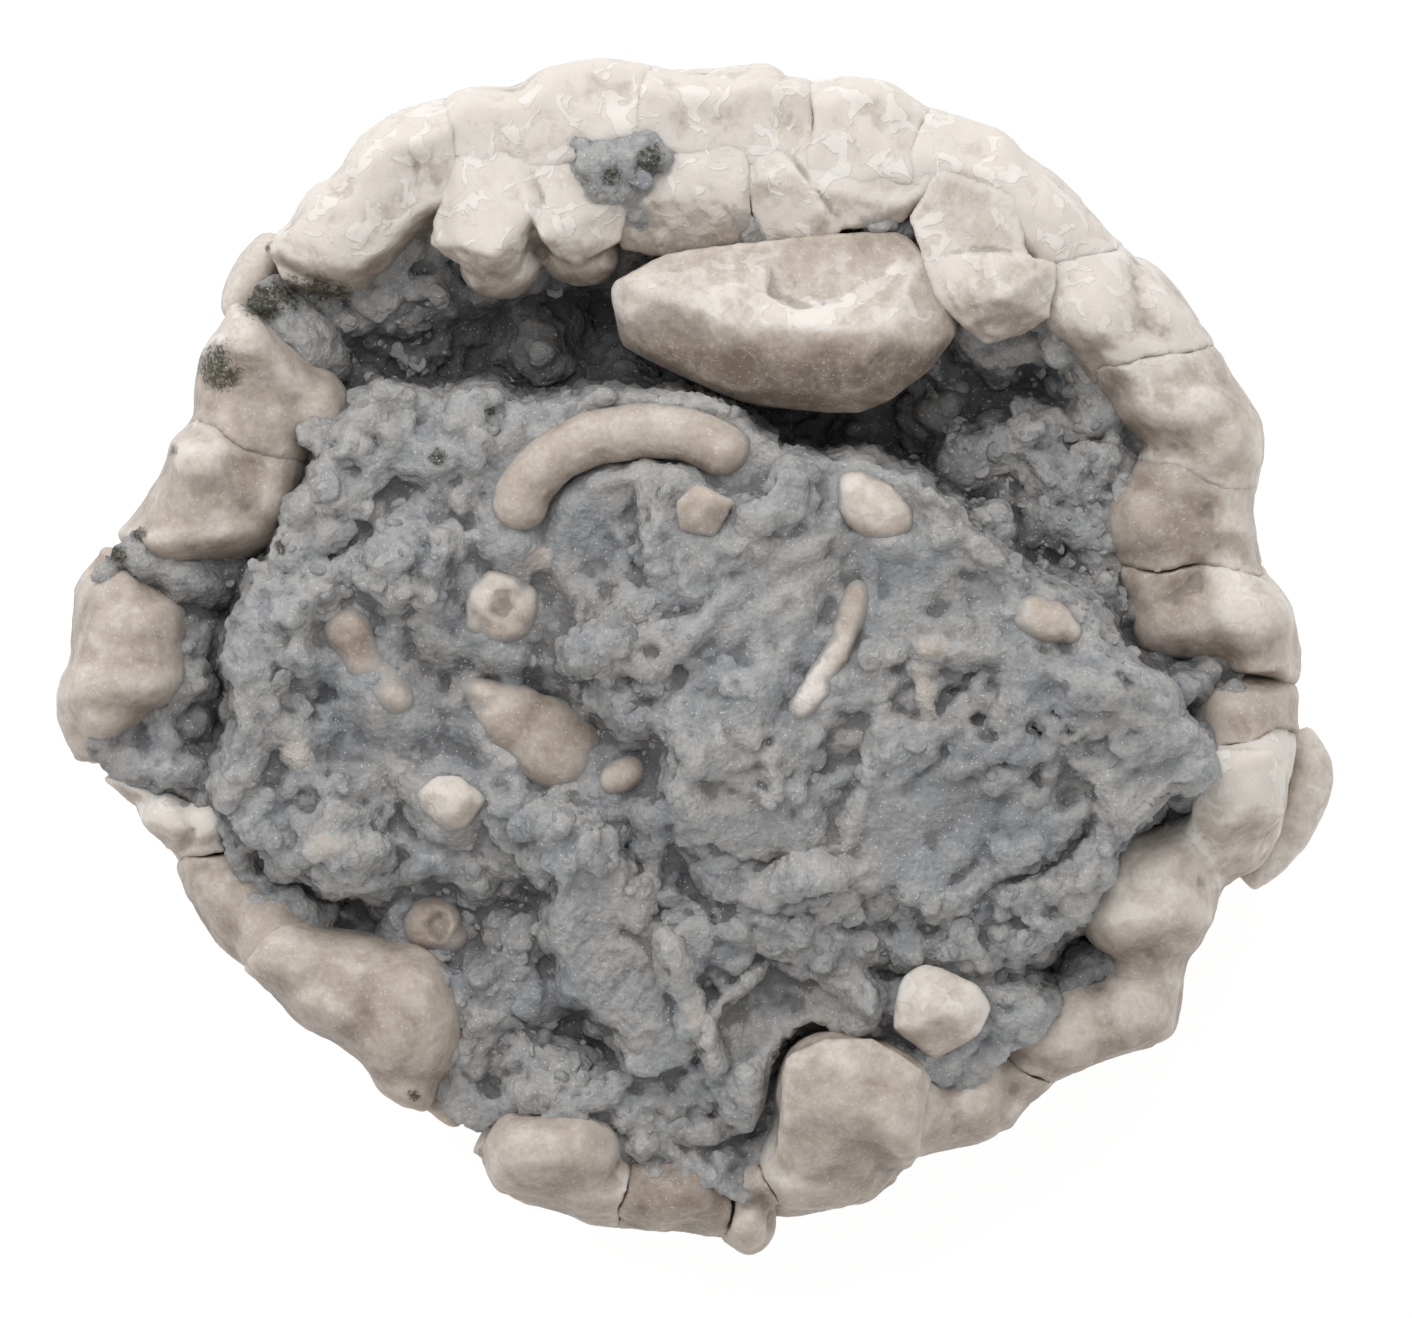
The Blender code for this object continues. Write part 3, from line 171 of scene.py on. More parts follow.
# The broken matrix: a deep floor, then shelves laid on it one by one
FLOOR_HEIGHT = 10.8
SHELVES = [Shelf(*row) for row in (
    # bed under the rim, all round
    ([(-22, -22), (-22, 22), (22, 22), (22, -22), (0, -22), (0, -17), (8.5, -14.5), (14.5, -10),
      (17.2, -3), (15.6, 3), (13.5, 9), (11, 13.8), (4, 16.2), (-4, 16.8), (-9, 15.8), (-13, 12.5),
      (-14.2, 7), (-16.4, 3), (-17.2, -3), (-15.8, -7), (-10.5, -10.8), (-8, -14), (-4, -17), (0, -17),
      (0, -22)], 0, 0, 12.3, 0, 0.02, 1.2),
    # rough sunken ground at the upper right
    ([(9, 8), (14.9, 9), (15.6, 6), (14.8, 3), (15.8, -0.5), (13, 0.8), (9.5, 4.5)],
     12.5, 6, 12.6, 0.12, 0.08, 1.2),
    # shoulder that holds the right end of the displaced plate
    ([(5.5, 15.2), (9.5, 16.4), (13.4, 12.6), (13.3, 10.2), (9.7, 10.4), (7.5, 12.8)],
     9, 13, 14.4, 0, 0.15, 1.2),
    # ground under the upper left plates
    ([(-15.5, 13.6), (-9.6, 15.4), (-3, 15.8), (3, 17.5), (6, 15.6), (-4, 13.4), (-11, 11.5),
      (-14.5, 10.5)], -6, 14.5, 12.6, 0, 0.3, 1.4),
    # pack between the rim and the broken plates at the top
    ([(-9.4, 15.4), (-8.4, 17.6), (-4.4, 18.6), (4, 18.4), (8.4, 17.6), (12.4, 15.2), (13.6, 13.2),
      (12.2, 11.7), (10.2, 13.2), (7.6, 14.2), (4.6, 15.4), (1.6, 15), (-2, 15.2), (-5.4, 15.6)],
     0, 16.5, 15.4, 0, 0.1, 1),
    # rough dark patch set in the rim
    ([(-4.6, 18.5), (-1, 18.4), (-0.9, 17), (-2.6, 16), (-4.4, 16.2)], -2.8, 17.2, 16.7, 0, 0.2, 0.8),
    # fill between the second and third broken plates
    ([(1.2, 16.8), (2.2, 16.8), (2.5, 14.4), (1.2, 14.2)], 1.8, 15.5, 16.4, 0, 0.5, 0.5),
    # left mound
    ([(-16.9, -4.2), (-16.4, -1.5), (-16.3, 1), (-15.2, 4), (-13.4, 6.8), (-11.2, 9.9), (-9.2, 9.2),
      (-7.9, 9.9), (-6.1, 9), (-4, 9.4), (-1, 9.5), (1.3, 8.9), (2.9, 7.6), (3.5, 4), (0, -5), (-6, -8),
      (-11.2, -8.6), (-14.8, -7.6), (-16.4, -5.6)], -7, 3, 16.6, 0.12, 0.17, 0.8),
    # smooth hollow in it
    ([(-13.2, -1), (-10, 0.6), (-6.5, -0.6), (-4.3, -1.5), (-3.4, -3.6), (-6, -4.4), (-10, -4.2),
      (-13.6, -3.6)], -8, -2.5, 14.9, 0.02, 0.1, 1.4),
    # sunken ground at the lower left, beside the rim
    ([(-10.6, -8.6), (-7, -7.4), (-5, -7.6), (-3.6, -12), (0.6, -13.4), (1.6, -16.2), (0.6, -19),
      (-4.4, -17), (-8.6, -14), (-10.8, -10.4)], -7, -11, 13.2, 0, 0.1, 1.2),
    # saddle between the mounds and the leaning slab
    ([(-6, -5), (-2.6, -2.6), (1.5, -6), (3, -8.6), (1.4, -10.6), (-1, -9.6), (-3.2, -7.6),
      (-5.6, -7.4)], -1, -7, 16.3, 0.1, 0.25, 1.2),
    # broken step at the lower right, running in under the mound
    ([(0.8, -6.6), (5, -5.4), (9, -4.8), (13.4, -4.4), (15.4, -5), (14.6, -7.4), (13.8, -9.2),
      (10.6, -11.2), (5.6, -11.4), (3.2, -11), (1.2, -10)], 8, -9, 15.6, -0.05, 0.3, 0.8),
    # right mound, with its pointed end over the rim
    ([(-2, 4.8), (-1.2, 6.4), (2.2, 7.1), (5, 7.1), (7.8, 6.5), (9, 5.3), (10, 4.1), (12.5, 2.4),
      (15, 0.2), (16.4, -0.8), (17.1, -2.2), (18.3, -3.8), (17.6, -4.7), (16.4, -4.9), (15.9, -5.5),
      (15, -6), (14.3, -5.4), (13.9, -4.6), (13.8, -5.6), (12.8, -6.8), (10.9, -7.2), (9.8, -8.2),
      (8.3, -8.9), (6.8, -7.9), (5.6, -8.2), (3.4, -9), (0.5, -8.3), (-0.3, -6.8), (-1.3, -4.8),
      (-1.3, -2.2), (-2.7, -3), (-3.8, -2), (-3.6, 0.6), (-1.8, 2.8)], 5, 0, 18.2, -0.03, 0.13, 0.7),
    # ledge that carries the small block
    ([(5.6, -10.8), (11, -10.6), (12.6, -12), (9.6, -15.6), (5.4, -15.4)],
     8.5, -12.5, 13.6, 0, 0.2, 0.8),
    # slab that leans down to the rim
    ([(-5, -7), (-2, -6.8), (-0.4, -9), (0.4, -12), (-0.2, -14.4), (-2, -14.6), (-4.6, -11.6),
      (-5.2, -9.4)], -2.6, -10.5, 15.6, 0.1, 0.22, 0.8),
    # hollow with the two ridges round it
    ([(-0.6, -9.2), (2.6, -10.6), (6.2, -11.4), (6.6, -12.9), (4, -13), (2.6, -14), (1.7, -16.2),
      (0.9, -15.9), (0, -13)], 2.4, -12.6, 14.6, 0.05, 0.12, 0.7),
)]

# Angular blocks inside the rim: corners of the bodies they are melted from
BLOCKS = {
    "broken_plate_1": [
        [(-8.4, 17.8, 16.9), (-6.8, 18.1, 17), (-9.35, 14.5, 16), (-8.4, 14.5, 17.3),
         (-7.2, 14.1, 17.9), (-6.2, 14.6, 17.5), (-5.6, 16, 17.6), (-7.5, 13.3, 16.2), (-6.3, 13.1, 16),
         (-8.6, 15.5, 13.4), (-6.5, 14, 12.9), (-5.8, 15.8, 13.4)],
        [(-6.4, 18, 17), (-4.3, 17.6, 17.1), (-2.2, 16.3, 17), (-5.5, 14.7, 17.6), (-4.9, 14, 16.4),
         (-4.2, 13.7, 16.2), (-3.4, 14.1, 16.5), (-2.6, 14.5, 16.5), (-5, 14.6, 13), (-3.4, 15.2, 13.2)],
        [(-7.4, 14.6, 16.6), (-4.4, 14.8, 16.6), (-6.8, 16.6, 17.2), (-4.6, 16.6, 17.2),
         (-6.4, 14.2, 14.4), (-4.8, 14.4, 14.4)],
    ],
    "broken_plate_2": [
        [(-2.8, 17.7, 16.9), (-0.4, 18.8, 16.9), (1.4, 18.9, 16.9), (1.95, 17.2, 17.4), (0.2, 17, 17.6),
         (1.5, 16.1, 17.5), (1.85, 14.5, 16.3), (0.4, 14.2, 15.9), (-1, 14, 15.6), (-2.7, 14.3, 15.7),
         (-3, 15.7, 16.8), (-1.4, 16.1, 17.3), (-1.5, 15.4, 13.2), (0.8, 15.4, 13.2)],
    ],
    "broken_plate_3": [
        [(1.6, 18, 16.9), (2.7, 18.2, 17), (3.6, 17, 17.9), (4.5, 15.7, 17.6), (4.95, 14.9, 16.8),
         (2.1, 14.5, 16.4), (3.7, 14.3, 16.5), (1.7, 16.6, 17.2), (2.6, 15.8, 14), (4.4, 15.6, 14)],
        [(3.2, 18, 17), (7.6, 17.8, 16.8), (8.9, 17.2, 16.9), (7.3, 15.9, 17.3), (7.2, 15.2, 16.6),
         (4.8, 15, 16.8), (3.4, 16.6, 17.5), (5, 16, 14.2), (6.9, 15.8, 14.2)],
    ],
    "broken_plate_4": [
        [(7.8, 13.8, 17.1), (10.1, 14.2, 17.6), (12.6, 13.9, 17.2), (12.4, 11.9, 16.7),
         (11.5, 11.3, 16.3), (10.1, 10.9, 16.5), (9.3, 11.5, 17), (8.1, 12.8, 17.1), (10.6, 12.6, 18),
         (9.4, 13.2, 13.6), (11, 12.2, 13.6)],
        [(7.3, 15.4, 17.1), (8.4, 17.2, 17.2), (11.2, 16.2, 17.2), (11.8, 13.5, 17.3), (8, 13.4, 17.2),
         (8.6, 14.8, 14)],
    ],
    "small_block": [
        [(7.1, -11.2, 15.9), (7.9, -10.6, 15.7), (8.6, -10.7, 15.9), (9.9, -11.4, 15.9),
         (10.4, -12.2, 15.6), (9.9, -13.2, 15.6), (8.3, -14.2, 15), (6.7, -13, 15.8),
         (7.9, -11.7, 16.6), (9.1, -12.3, 16.6), (7.6, -12.9, 16.4), (7.4, -11.4, 12.6),
         (9.8, -12.4, 12.4), (8.3, -13.6, 12.4)],
    ],
    "block_ossicle": [
        [(-0.8, 5.5, 19.6), (0, 6.2, 19.6), (1.4, 5.5, 19.6), (0.7, 4.1, 19.2), (-0.7, 4.4, 19.3),
         (0.6, 5.6, 20), (0, 4.8, 19.9), (-0.1, 5.6, 19.9), (0.2, 5.2, 18)],
    ],
    "diamond_ossicle": [
        [(-10, -4.7, 15.8), (-9.2, -4, 15.9), (-8.3, -4, 15.9), (-7.2, -4.9, 15.8), (-8, -6, 15.6),
         (-8.8, -6.2, 15.6), (-9.7, -5.4, 15.7), (-9, -4.6, 16.5), (-8, -4.8, 16.5), (-8.5, -5.4, 16.4),
         (-8.6, -5.1, 14.2)],
    ],
}
# Rounded front lobes of a broken plate
BLOCK_LOBES = {"broken_plate_1": [Lobe(-6.9, 13.8, 16.5, 1.4, 1.15, 0, 0.2),
                                  Lobe(-4.1, 14.2, 16.2, 1.3, 1.1, 0, 0.2)]}
BLOCK_LOBE_DEPTH = 1.7
BLOCK_PALE = {"broken_plate_1": 1.0, "broken_plate_2": 0.98, "broken_plate_3": 0.92,
              "broken_plate_4": 0.78, "small_block": 0.8, "block_ossicle": 0.42,
              "diamond_ossicle": 0.75}
BLOCK_SMOOTHING = {"small_block": 56, "diamond_ossicle": 18, "block_ossicle": 20}
# Bowl broken into the plates and blocks round the rough dark patch
PATCH_BOWL = [
    (-4.5, 17.5, 19), (-3.6, 18.3, 19), (-1.6, 18.4, 19), (-0.9, 17.6, 19), (-1.3, 16.7, 19),
    (-2.4, 16, 19), (-4.1, 16.2, 19), (-3.8, 17.3, 15.6), (-2.4, 17.8, 15.6), (-1.7, 17.3, 15.6),
    (-2.5, 16.7, 15.6),
]
PATCH_BLOCKS = ("broken_plate_1", "broken_plate_2")
PATCH_PLATES = (2, 3)

# Rounded ossicles set in the matrix: half height and swellings
OSSICLES = {name: (depth, [Lobe(*lobe) for lobe in lobes]) for name, depth, *lobes in (
    ("round_ossicle", 1.3, (6.2, 5.2, 19.6, 1.5, 1.05, -35, 0.55), (5.6, 5.8, 19.4, 0.9, 0.8, 0, 0.6)),
    ("spindle_ossicle", 0.9, (5.4, 1.7, 18.9, 0.62, 1.15, -18, 0.4),
     (4.9, 0.3, 18.9, 0.5, 1.1, -28, 0.55), (4, -1.2, 18.8, 0.6, 1.2, -40, 0.85)),
    ("lens_ossicle", 1, (12, 1.4, 18.8, 1.35, 0.8, -18, 0.55), (12.8, 1.1, 18.5, 0.8, 0.55, -30, 0.5)),
    ("smooth_plate", 1.5, (-5, -3, 16.5, 1.9, 1.6, -32, 0.28), (-6.3, -2.2, 16.3, 1.7, 1.3, -35, 0.4),
     (-7.5, -1.2, 16, 1.2, 0.6, -20, 0.5)),
    ("pebble_ossicle", 1, (-2.6, -4.1, 17, 0.95, 0.65, 30, 0.5)),
    ("spine_left", 1, (-12.2, 1, 16.4, 0.9, 0.9, 30, 0.2), (-11.6, -0.2, 16.2, 0.8, 1, 38, 0.35),
     (-10.8, -1.1, 16.3, 0.8, 1.1, 42, 0.5)),
    ("columnal_left", 0.9, (-7.4, 2.1, 17, 0.7, 0.85, 25, 0.75), (-6.8, 2.6, 16.9, 0.9, 0.55, -12, 0.7),
     (-6.1, 1.9, 16.8, 0.6, 0.85, 5, 0.5), (-6.6, 1.1, 16.7, 0.95, 0.6, 15, 0.4),
     (-7.5, 1.3, 16.5, 0.7, 0.6, 0, 0.5)),
    ("columnal_lower", 0.9, (-9.3, -9.3, 13.7, 1.05, 1, 0, 0.1), (-8.8, -9.8, 13.4, 0.8, 0.7, 0, 0.1)),
)}
PITS = {"columnal_left": (-6.8, 1.8, 0.6, 0.25), "columnal_lower": (-9.2, -9.4, 0.6, 0.25)}

# The displaced plate: its swellings, loose corners and broken faces
DISPLACED = [Lobe(*row) for row in (
    (-0.6, 12.2, 18.9, 2.2, 1.9, 0, 0.75), (2, 11.6, 19.5, 2.7, 2.7, 0, 0.6),
    (5, 11.6, 19.7, 3, 3.15, 0, 0.55), (6.9, 12, 19.1, 2.1, 2.4, 0, 0.55),
)]
DISPLACED_DEPTH = 3.2
DISPLACED_CORNERS = [
    (-3, 13.1, 17.6), (-2.9, 12, 17), (-2.6, 10.9, 16.2), (-1.1, 14.1, 17.6), (0.2, 14.3, 17.6),
    (1.7, 14.3, 17.6), (3.5, 14.75, 17.4), (7, 15.05, 17.2), (7.5, 14.2, 17.2), (9.1, 11.4, 16.4),
]
DISPLACED_FACES = [Chip(*row) for row in (
    (-0.9, 13.3, 18.5, -0.3, 0.72, 0.6), (7.6, 12.8, 17.9, 0.7, 0.25, 0.66),
    (1.3, 13.6, 18.4, 0.1, 0.62, 0.78), (-2.2, 12.2, 17.8, -0.62, -0.1, 0.78),
    (-1.4, 11.2, 17.6, -0.42, -0.5, 0.76),
)]
# Hollow broken out of it, behind its front ridge
DISPLACED_HOLLOW = [
    (2.2, 15.8, 17), (2.5, 12.7, 18.5), (3.6, 12.15, 18.8), (5, 12.3, 18.8), (6.3, 13.1, 18.5),
    (7, 13.9, 18.1), (6.6, 15.8, 17), (1.8, 15.8, 22), (2, 12.4, 22), (3.5, 11.9, 22), (5.2, 12, 22),
    (6.7, 12.9, 22), (7.4, 13.8, 22), (7.2, 16, 22),
]

# The crescent: (x, y) along its middle, its height and radius
CRESCENT_PATH = [
    (-6.35, 4.5), (-6.1, 5.9), (-5.1, 7), (-3.6, 7.75), (-2, 8), (-0.4, 7.85), (0.9, 7.3), (1.6, 6.7),
]
CRESCENT_HEIGHT = 17.7
CRESCENT_RISE = 0.12  # for each millimetre to the right
CRESCENT_RADIUS = 0.98
# The arm piece outside the rim, and how its radius tapers along it
ARM_PATH = [
    (21.2, -2.6), (21.75, -3.8), (21.5, -5), (20.9, -6.2), (20.1, -7.2), (19.4, -7.9),
]
ARM_HEIGHT = 8.9
ARM_RADIUS = 0.9
ARM_TAPER = (0.6, 0.95, 1.0, 0.9, 0.8, 0.55)
SPLINTER = Lobe(-15.6, 13.4, 13.0, 0.85, 1.8, -28, 0.6)
SPLINTER_DEPTH = 2.6
HOLLOW_VOXEL = 0.2  # fineness of the walls of a carved hollow


# ---- noise and fields

def scatter(ix, iy, iz, seed):
    """A steady pseudo-random number from 0 to 1 for each lattice cell."""
    mixed = (ix.astype(np.int64) * 73856093) ^ (iy.astype(np.int64) * 19349663)
    mixed ^= (iz.astype(np.int64) * 83492791) ^ np.int64(seed * 2654435761 % 4294967296)
    mixed = (mixed ^ (mixed >> 13)) * 1274126177 & 0xFFFFFFFF
    mixed = (mixed ^ (mixed >> 15)) * 2246822519 & 0xFFFFFFFF
    mixed ^= mixed >> 16
    return mixed / 4294967296.0


def noise(points, size, seed=0):
    """Smooth noise from -1 to 1 whose bumps are about size wide."""
    scaled = points / size
    cell = np.floor(scaled).astype(np.int64)
    part = scaled - cell
    part = part * part * part * (part * (part * 6 - 15) + 10)
    total = np.zeros(len(points))
    for corner in product((0, 1), repeat=3):
        wx, wy, wz = (part[:, axis] if far else 1 - part[:, axis] for axis, far in enumerate(corner))
        total += wx * wy * wz * scatter(*(cell + corner).T, seed)
    return total * 2 - 1


def layered(points, size, seed=0, octaves=3):
    """Noise with finer and weaker layers added."""
    total, weight, reach = np.zeros(len(points)), 1.0, 0.0
    for octave in range(octaves):
        total += weight * noise(points, size / 2 ** octave, seed + 17 * octave)
        reach += weight
        weight *= 0.55
    return total / reach


def grains(points, size, seed=0):
    """Distance to the nearest scattered grain and to the next, in grain sizes, and its number."""
    scaled = points / size
    cell = np.floor(scaled).astype(np.int64)
    nearest, following = np.full((2, len(points)), 9.0)
    number = np.zeros(len(points))
    for corner in product((-1, 0, 1), repeat=3):
        place = (cell + corner).T
        there = np.stack([scatter(*place, seed + axis) for axis in range(3)], axis=1) + place.T
        away = np.sqrt(((scaled - there) ** 2).sum(axis=1))
        closer = away < nearest
        following = np.where(closer, nearest, np.minimum(following, away))
        number = np.where(closer, scatter(*place, seed + 3), number)
        nearest = np.where(closer, away, nearest)
    return nearest, following, number


def step(value, low, high):
    """Rises smoothly from 0 at low to 1 at high."""
    share = np.clip((value - low) / (high - low), 0, 1)
    return share * share * (3 - 2 * share)


def within(x, y, outline):
    """How far each point lies inside an outline, below 0 outside it."""
    nearest = np.full(len(x), np.inf)
    inside = np.zeros(len(x), bool)
    for (ax, ay), (bx, by) in zip(outline, outline[1:] + outline[:1]):
        along_x, along_y = bx - ax, by - ay
        length = max(along_x ** 2 + along_y ** 2, 1e-9)
        share = np.clip(((x - ax) * along_x + (y - ay) * along_y) / length, 0, 1)
        away = np.hypot(x - ax - share * along_x, y - ay - share * along_y)
        nearest = np.minimum(nearest, away)
        if ay != by:
            crossing = ((ay > y) != (by > y)) & (x < ax + (y - ay) / along_y * along_x)
            inside ^= crossing
    return np.where(inside, nearest, -nearest)


def along(x, y, way):
    """Offsets measured along a direction, and across it."""
    return x * way[0] + y * way[1], y * way[0] - x * way[1]


def turned(x, y, degrees):
    """Offsets measured along a direction turned this far about Z, and across it."""
    turn = math.radians(degrees)
    return along(x, y, (math.cos(turn), math.sin(turn)))


def flat(x, y, height=0.0):
    """Points of a surface as rows of x, y and height."""
    return np.stack([x, y, np.broadcast_to(height, x.shape)], axis=1)


def outline_reach(angles):
    """Distance from the middle to the cup's outline at each angle."""
    corners = np.array(OUTLINE)
    bearing = np.arctan2(corners[:, 1], corners[:, 0])
    order = np.argsort(bearing)
    return np.interp(angles, bearing[order], np.hypot(*corners[order].T), period=2 * math.pi)


# ---- pieces

def get_rows(mesh, name):
    rows = np.empty(len(mesh.vertices) * 3)
    mesh.vertices.foreach_get(name, rows)
    return rows.reshape(-1, 3)


def get_points(mesh):
    """A mesh's points in millimetres."""
    return get_rows(mesh, "co") / MM


def set_points(mesh, points):
    mesh.vertices.foreach_set("co", (points * MM).ravel())
    mesh.update()


def get_normals(mesh):
    return get_rows(mesh, "normal")


def push_out(piece, distances):
    """Moves each point of a piece along its normal, in millimetres."""
    mesh = piece.data
    set_points(mesh, get_points(mesh) + get_normals(mesh) * distances[:, None])


def get_values(mesh, name):
    values = np.empty(len(mesh.vertices))
    mesh.attributes[name].data.foreach_get("value", values)
    return values


def keep_values(mesh, name, values):
    """Stores one number for each point of a mesh, for its finish to read."""
    layer = mesh.attributes.get(name) or mesh.attributes.new(name, "FLOAT", "POINT")
    layer.data.foreach_set("value", np.asarray(values, dtype=np.float32))


def leave_edit():
    bpy.ops.object.mode_set(mode="OBJECT")


def select_only(piece):
    bpy.ops.object.select_all(action="DESELECT")
    piece.select_set(True)


def start_piece(name, data=None):
    """A mesh object at the origin, empty unless given its data, alone in edit mode."""
    if bpy.context.object and bpy.context.object.mode != "OBJECT":
        leave_edit()
    piece = bpy.data.objects.new(name, data or bpy.data.meshes.new(name))
    bpy.context.scene.collection.objects.link(piece)
    bpy.context.view_layer.objects.active = piece
    select_only(piece)
    bpy.ops.object.mode_set(mode="EDIT")
    return piece


def start_copy(name, node):
    """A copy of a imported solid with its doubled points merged."""
    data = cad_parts[node].data.copy()
    data.materials.clear()
    piece = start_piece(name, data)
    bpy.ops.mesh.select_all(action="SELECT")
    bpy.ops.mesh.remove_doubles(threshold=0.00001)
    leave_edit()
    return piece


def modify(piece, kind, **settings):
    """Adds a modifier with these settings and applies it."""
    bpy.context.view_layer.objects.active = piece
    modifier = piece.modifiers.new(kind.lower(), kind)
    for setting, value in settings.items():
        setattr(modifier, setting, value)
    bpy.ops.object.modifier_apply(modifier=modifier.name)


def boxed(way, boxy):
    """A direction drawn out to the surface between a unit ball and a box."""
    return way / sum(abs(part) ** boxy for part in way) ** (1 / boxy)


def swelling_points(lobe, depth, share=1.0, boxy=2.6, around=14):
    """Points over a swelling: an ellipsoid drawn out towards a box, highest at the lobe's top."""
    turn = math.radians(lobe.turn)
    ways = []
    for i, k in product(range(1, around // 2), range(around)):
        tilt, angle = math.pi * i / (around // 2), 2 * math.pi * k / around
        ways.append(Vector((math.sin(tilt) * math.cos(angle), math.sin(tilt) * math.sin(angle),
                            math.cos(tilt))))
    ways += [Vector((0, 0, 1)), Vector((0, 0, -1))]
    placed = []
    for way in ways:
        way = boxed(way, boxy) * share
        u, v = way.x * lobe.rx, way.y * lobe.ry
        placed.append((lobe.x + u * math.cos(turn) - v * math.sin(turn),
                       lobe.y + u * math.sin(turn) + v * math.cos(turn),
                       lobe.top - depth + way.z * depth))
    return placed


def add_swelling(lobe, depth, boxy=2.6):
    """Adds a swelling to the piece in edit mode: a sphere drawn out towards a box."""
    bpy.ops.mesh.select_all(action="DESELECT")
    middle = Vector((lobe.x, lobe.y, lobe.top - depth)) * MM
    bpy.ops.mesh.primitive_ico_sphere_add(subdivisions=4, radius=1, location=(0, 0, 0))
    turn = Matrix.Rotation(math.radians(lobe.turn), 3, "Z")
    mesh = bpy.context.edit_object.data
    bm = bmesh.from_edit_mesh(mesh)
    for vert in (v for v in bm.verts if v.select):
        way = boxed(vert.co.normalized(), boxy)
        vert.co = middle + turn @ Vector((way.x * lobe.rx, way.y * lobe.ry, way.z * depth)) * MM
    bmesh.update_edit_mesh(mesh)


def add_hull(corners):
    """Adds the convex hull of corners, in millimetres, to the piece in edit mode."""
    bm = bmesh.from_edit_mesh(bpy.context.edit_object.data)
    verts = [bm.verts.new(Vector(corner) * MM) for corner in corners]
    bmesh.ops.convex_hull(bm, input=verts)
    loose = [vert for vert in verts if not vert.link_faces]
    bmesh.ops.delete(bm, geom=loose, context="VERTS")
    bmesh.update_edit_mesh(bpy.context.edit_object.data)


def melt(piece, voxel, smoothing):
    """Melts what a piece is made of into one even skin."""
    if piece.mode == "EDIT":
        leave_edit()
    modify(piece, "REMESH", mode="VOXEL", voxel_size=voxel * MM)
    modify(piece, "SMOOTH", factor=0.5, iterations=smoothing)


def cut(piece, body, operation):
    """Cuts a piece by another body, which then goes."""
    select_only(piece)
    modify(piece, "BOOLEAN", operation=operation, solver="MANIFOLD", object=body)
    bpy.data.objects.remove(body)


def chip_off(piece, chip):
    """Breaks a piece off along a gently uneven face. What lies along its normal goes."""
    face, out = Vector(chip[:3]), Vector(chip[3:]).normalized()
    side = out.orthogonal().normalized()
    other = out.cross(side)
    room = start_piece("room")
    reach = 14
    add_hull([face + side * (reach * i) + other * (reach * k) - out * depth
              for i in (-1, 1) for k in (-1, 1) for depth in (0, 2 * reach)])
    bpy.ops.mesh.select_all(action="SELECT")
    bpy.ops.mesh.subdivide(number_cuts=50)
    leave_edit()
    points = get_points(room.data)
    uneven = 0.1 * layered(points, 1.4, 65, 3)
    set_points(room.data, points + np.array(out) * uneven[:, None])
    cut(piece, room, "INTERSECT")


def carve(piece, corners):
    """Breaks a hollow out of a piece: the hull of these corners, with uneven faces."""
    body = start_piece("hollow")
    add_hull(corners)
    leave_edit()
    modify(body, "REMESH", mode="VOXEL", voxel_size=HOLLOW_VOXEL * MM)
    push_out(body, 0.1 * layered(get_points(body.data), 1.1, 67, 3))
    cut(piece, body, "DIFFERENCE")


def tube(points, radii, sides=16):
    """Adds a bent rod along points, in millimetres, to the piece in edit mode."""
    bm = bmesh.from_edit_mesh(bpy.context.edit_object.data)
    points = [Vector(point) for point in points]
    rings = []
    for i, point in enumerate(points):
        ahead = points[min(i + 1, len(points) - 1)] - points[max(i - 1, 0)]
        side = ahead.cross(Vector((0, 0, 1))).normalized()
        up = side.cross(ahead).normalized()
        ring = []
        for k in range(sides):
            angle = 2 * math.pi * k / sides
            out = (side * math.cos(angle) + up * math.sin(angle)) * radii[i]
            ring.append(bm.verts.new((point + out) * MM))
        rings.append(ring)
    for near, far in zip(rings, rings[1:]):
        for k in range(sides):
            m = (k + 1) % sides
            bm.faces.new((near[k], far[k], far[m], near[m]))
    bm.faces.new(rings[0])
    bm.faces.new(rings[-1][::-1])
    bmesh.update_edit_mesh(bpy.context.edit_object.data)


def smooth_path(path, count):
    """Even points along a soft curve through the points of a path."""
    corners = np.array(path, dtype=float)
    run = np.concatenate([[0], np.cumsum(np.hypot(*np.diff(corners[:, :2], axis=0).T))])
    wanted = np.linspace(0, run[-1], count)
    eased = np.stack([np.interp(wanted, run, column) for column in corners.T], axis=1)
    for _ in range(max(1, count // 12)):
        eased[1:-1] = (eased[:-2] + 2 * eased[1:-1] + eased[2:]) / 4
    return eased


def settle(piece, material, slot, *nodes):
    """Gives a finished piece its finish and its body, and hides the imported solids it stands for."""
    piece.data.materials.clear()
    piece.data.materials.append(material)
    for polygon in piece.data.polygons:
        polygon.use_smooth = True
    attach(piece, BODY)
    if nodes:
        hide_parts(*nodes)


# ---- broken matrix surface

# A crest or rod lying in the matrix: its ends, half width, rise and tone
Ridge = namedtuple("Ridge", "x1 y1 x2 y2 width rise tone")
# A rounded grain: its middle, half widths, turn, rise, tone and the depth of its pit
Bead = namedtuple("Bead", "x y rx ry turn rise tone pit")

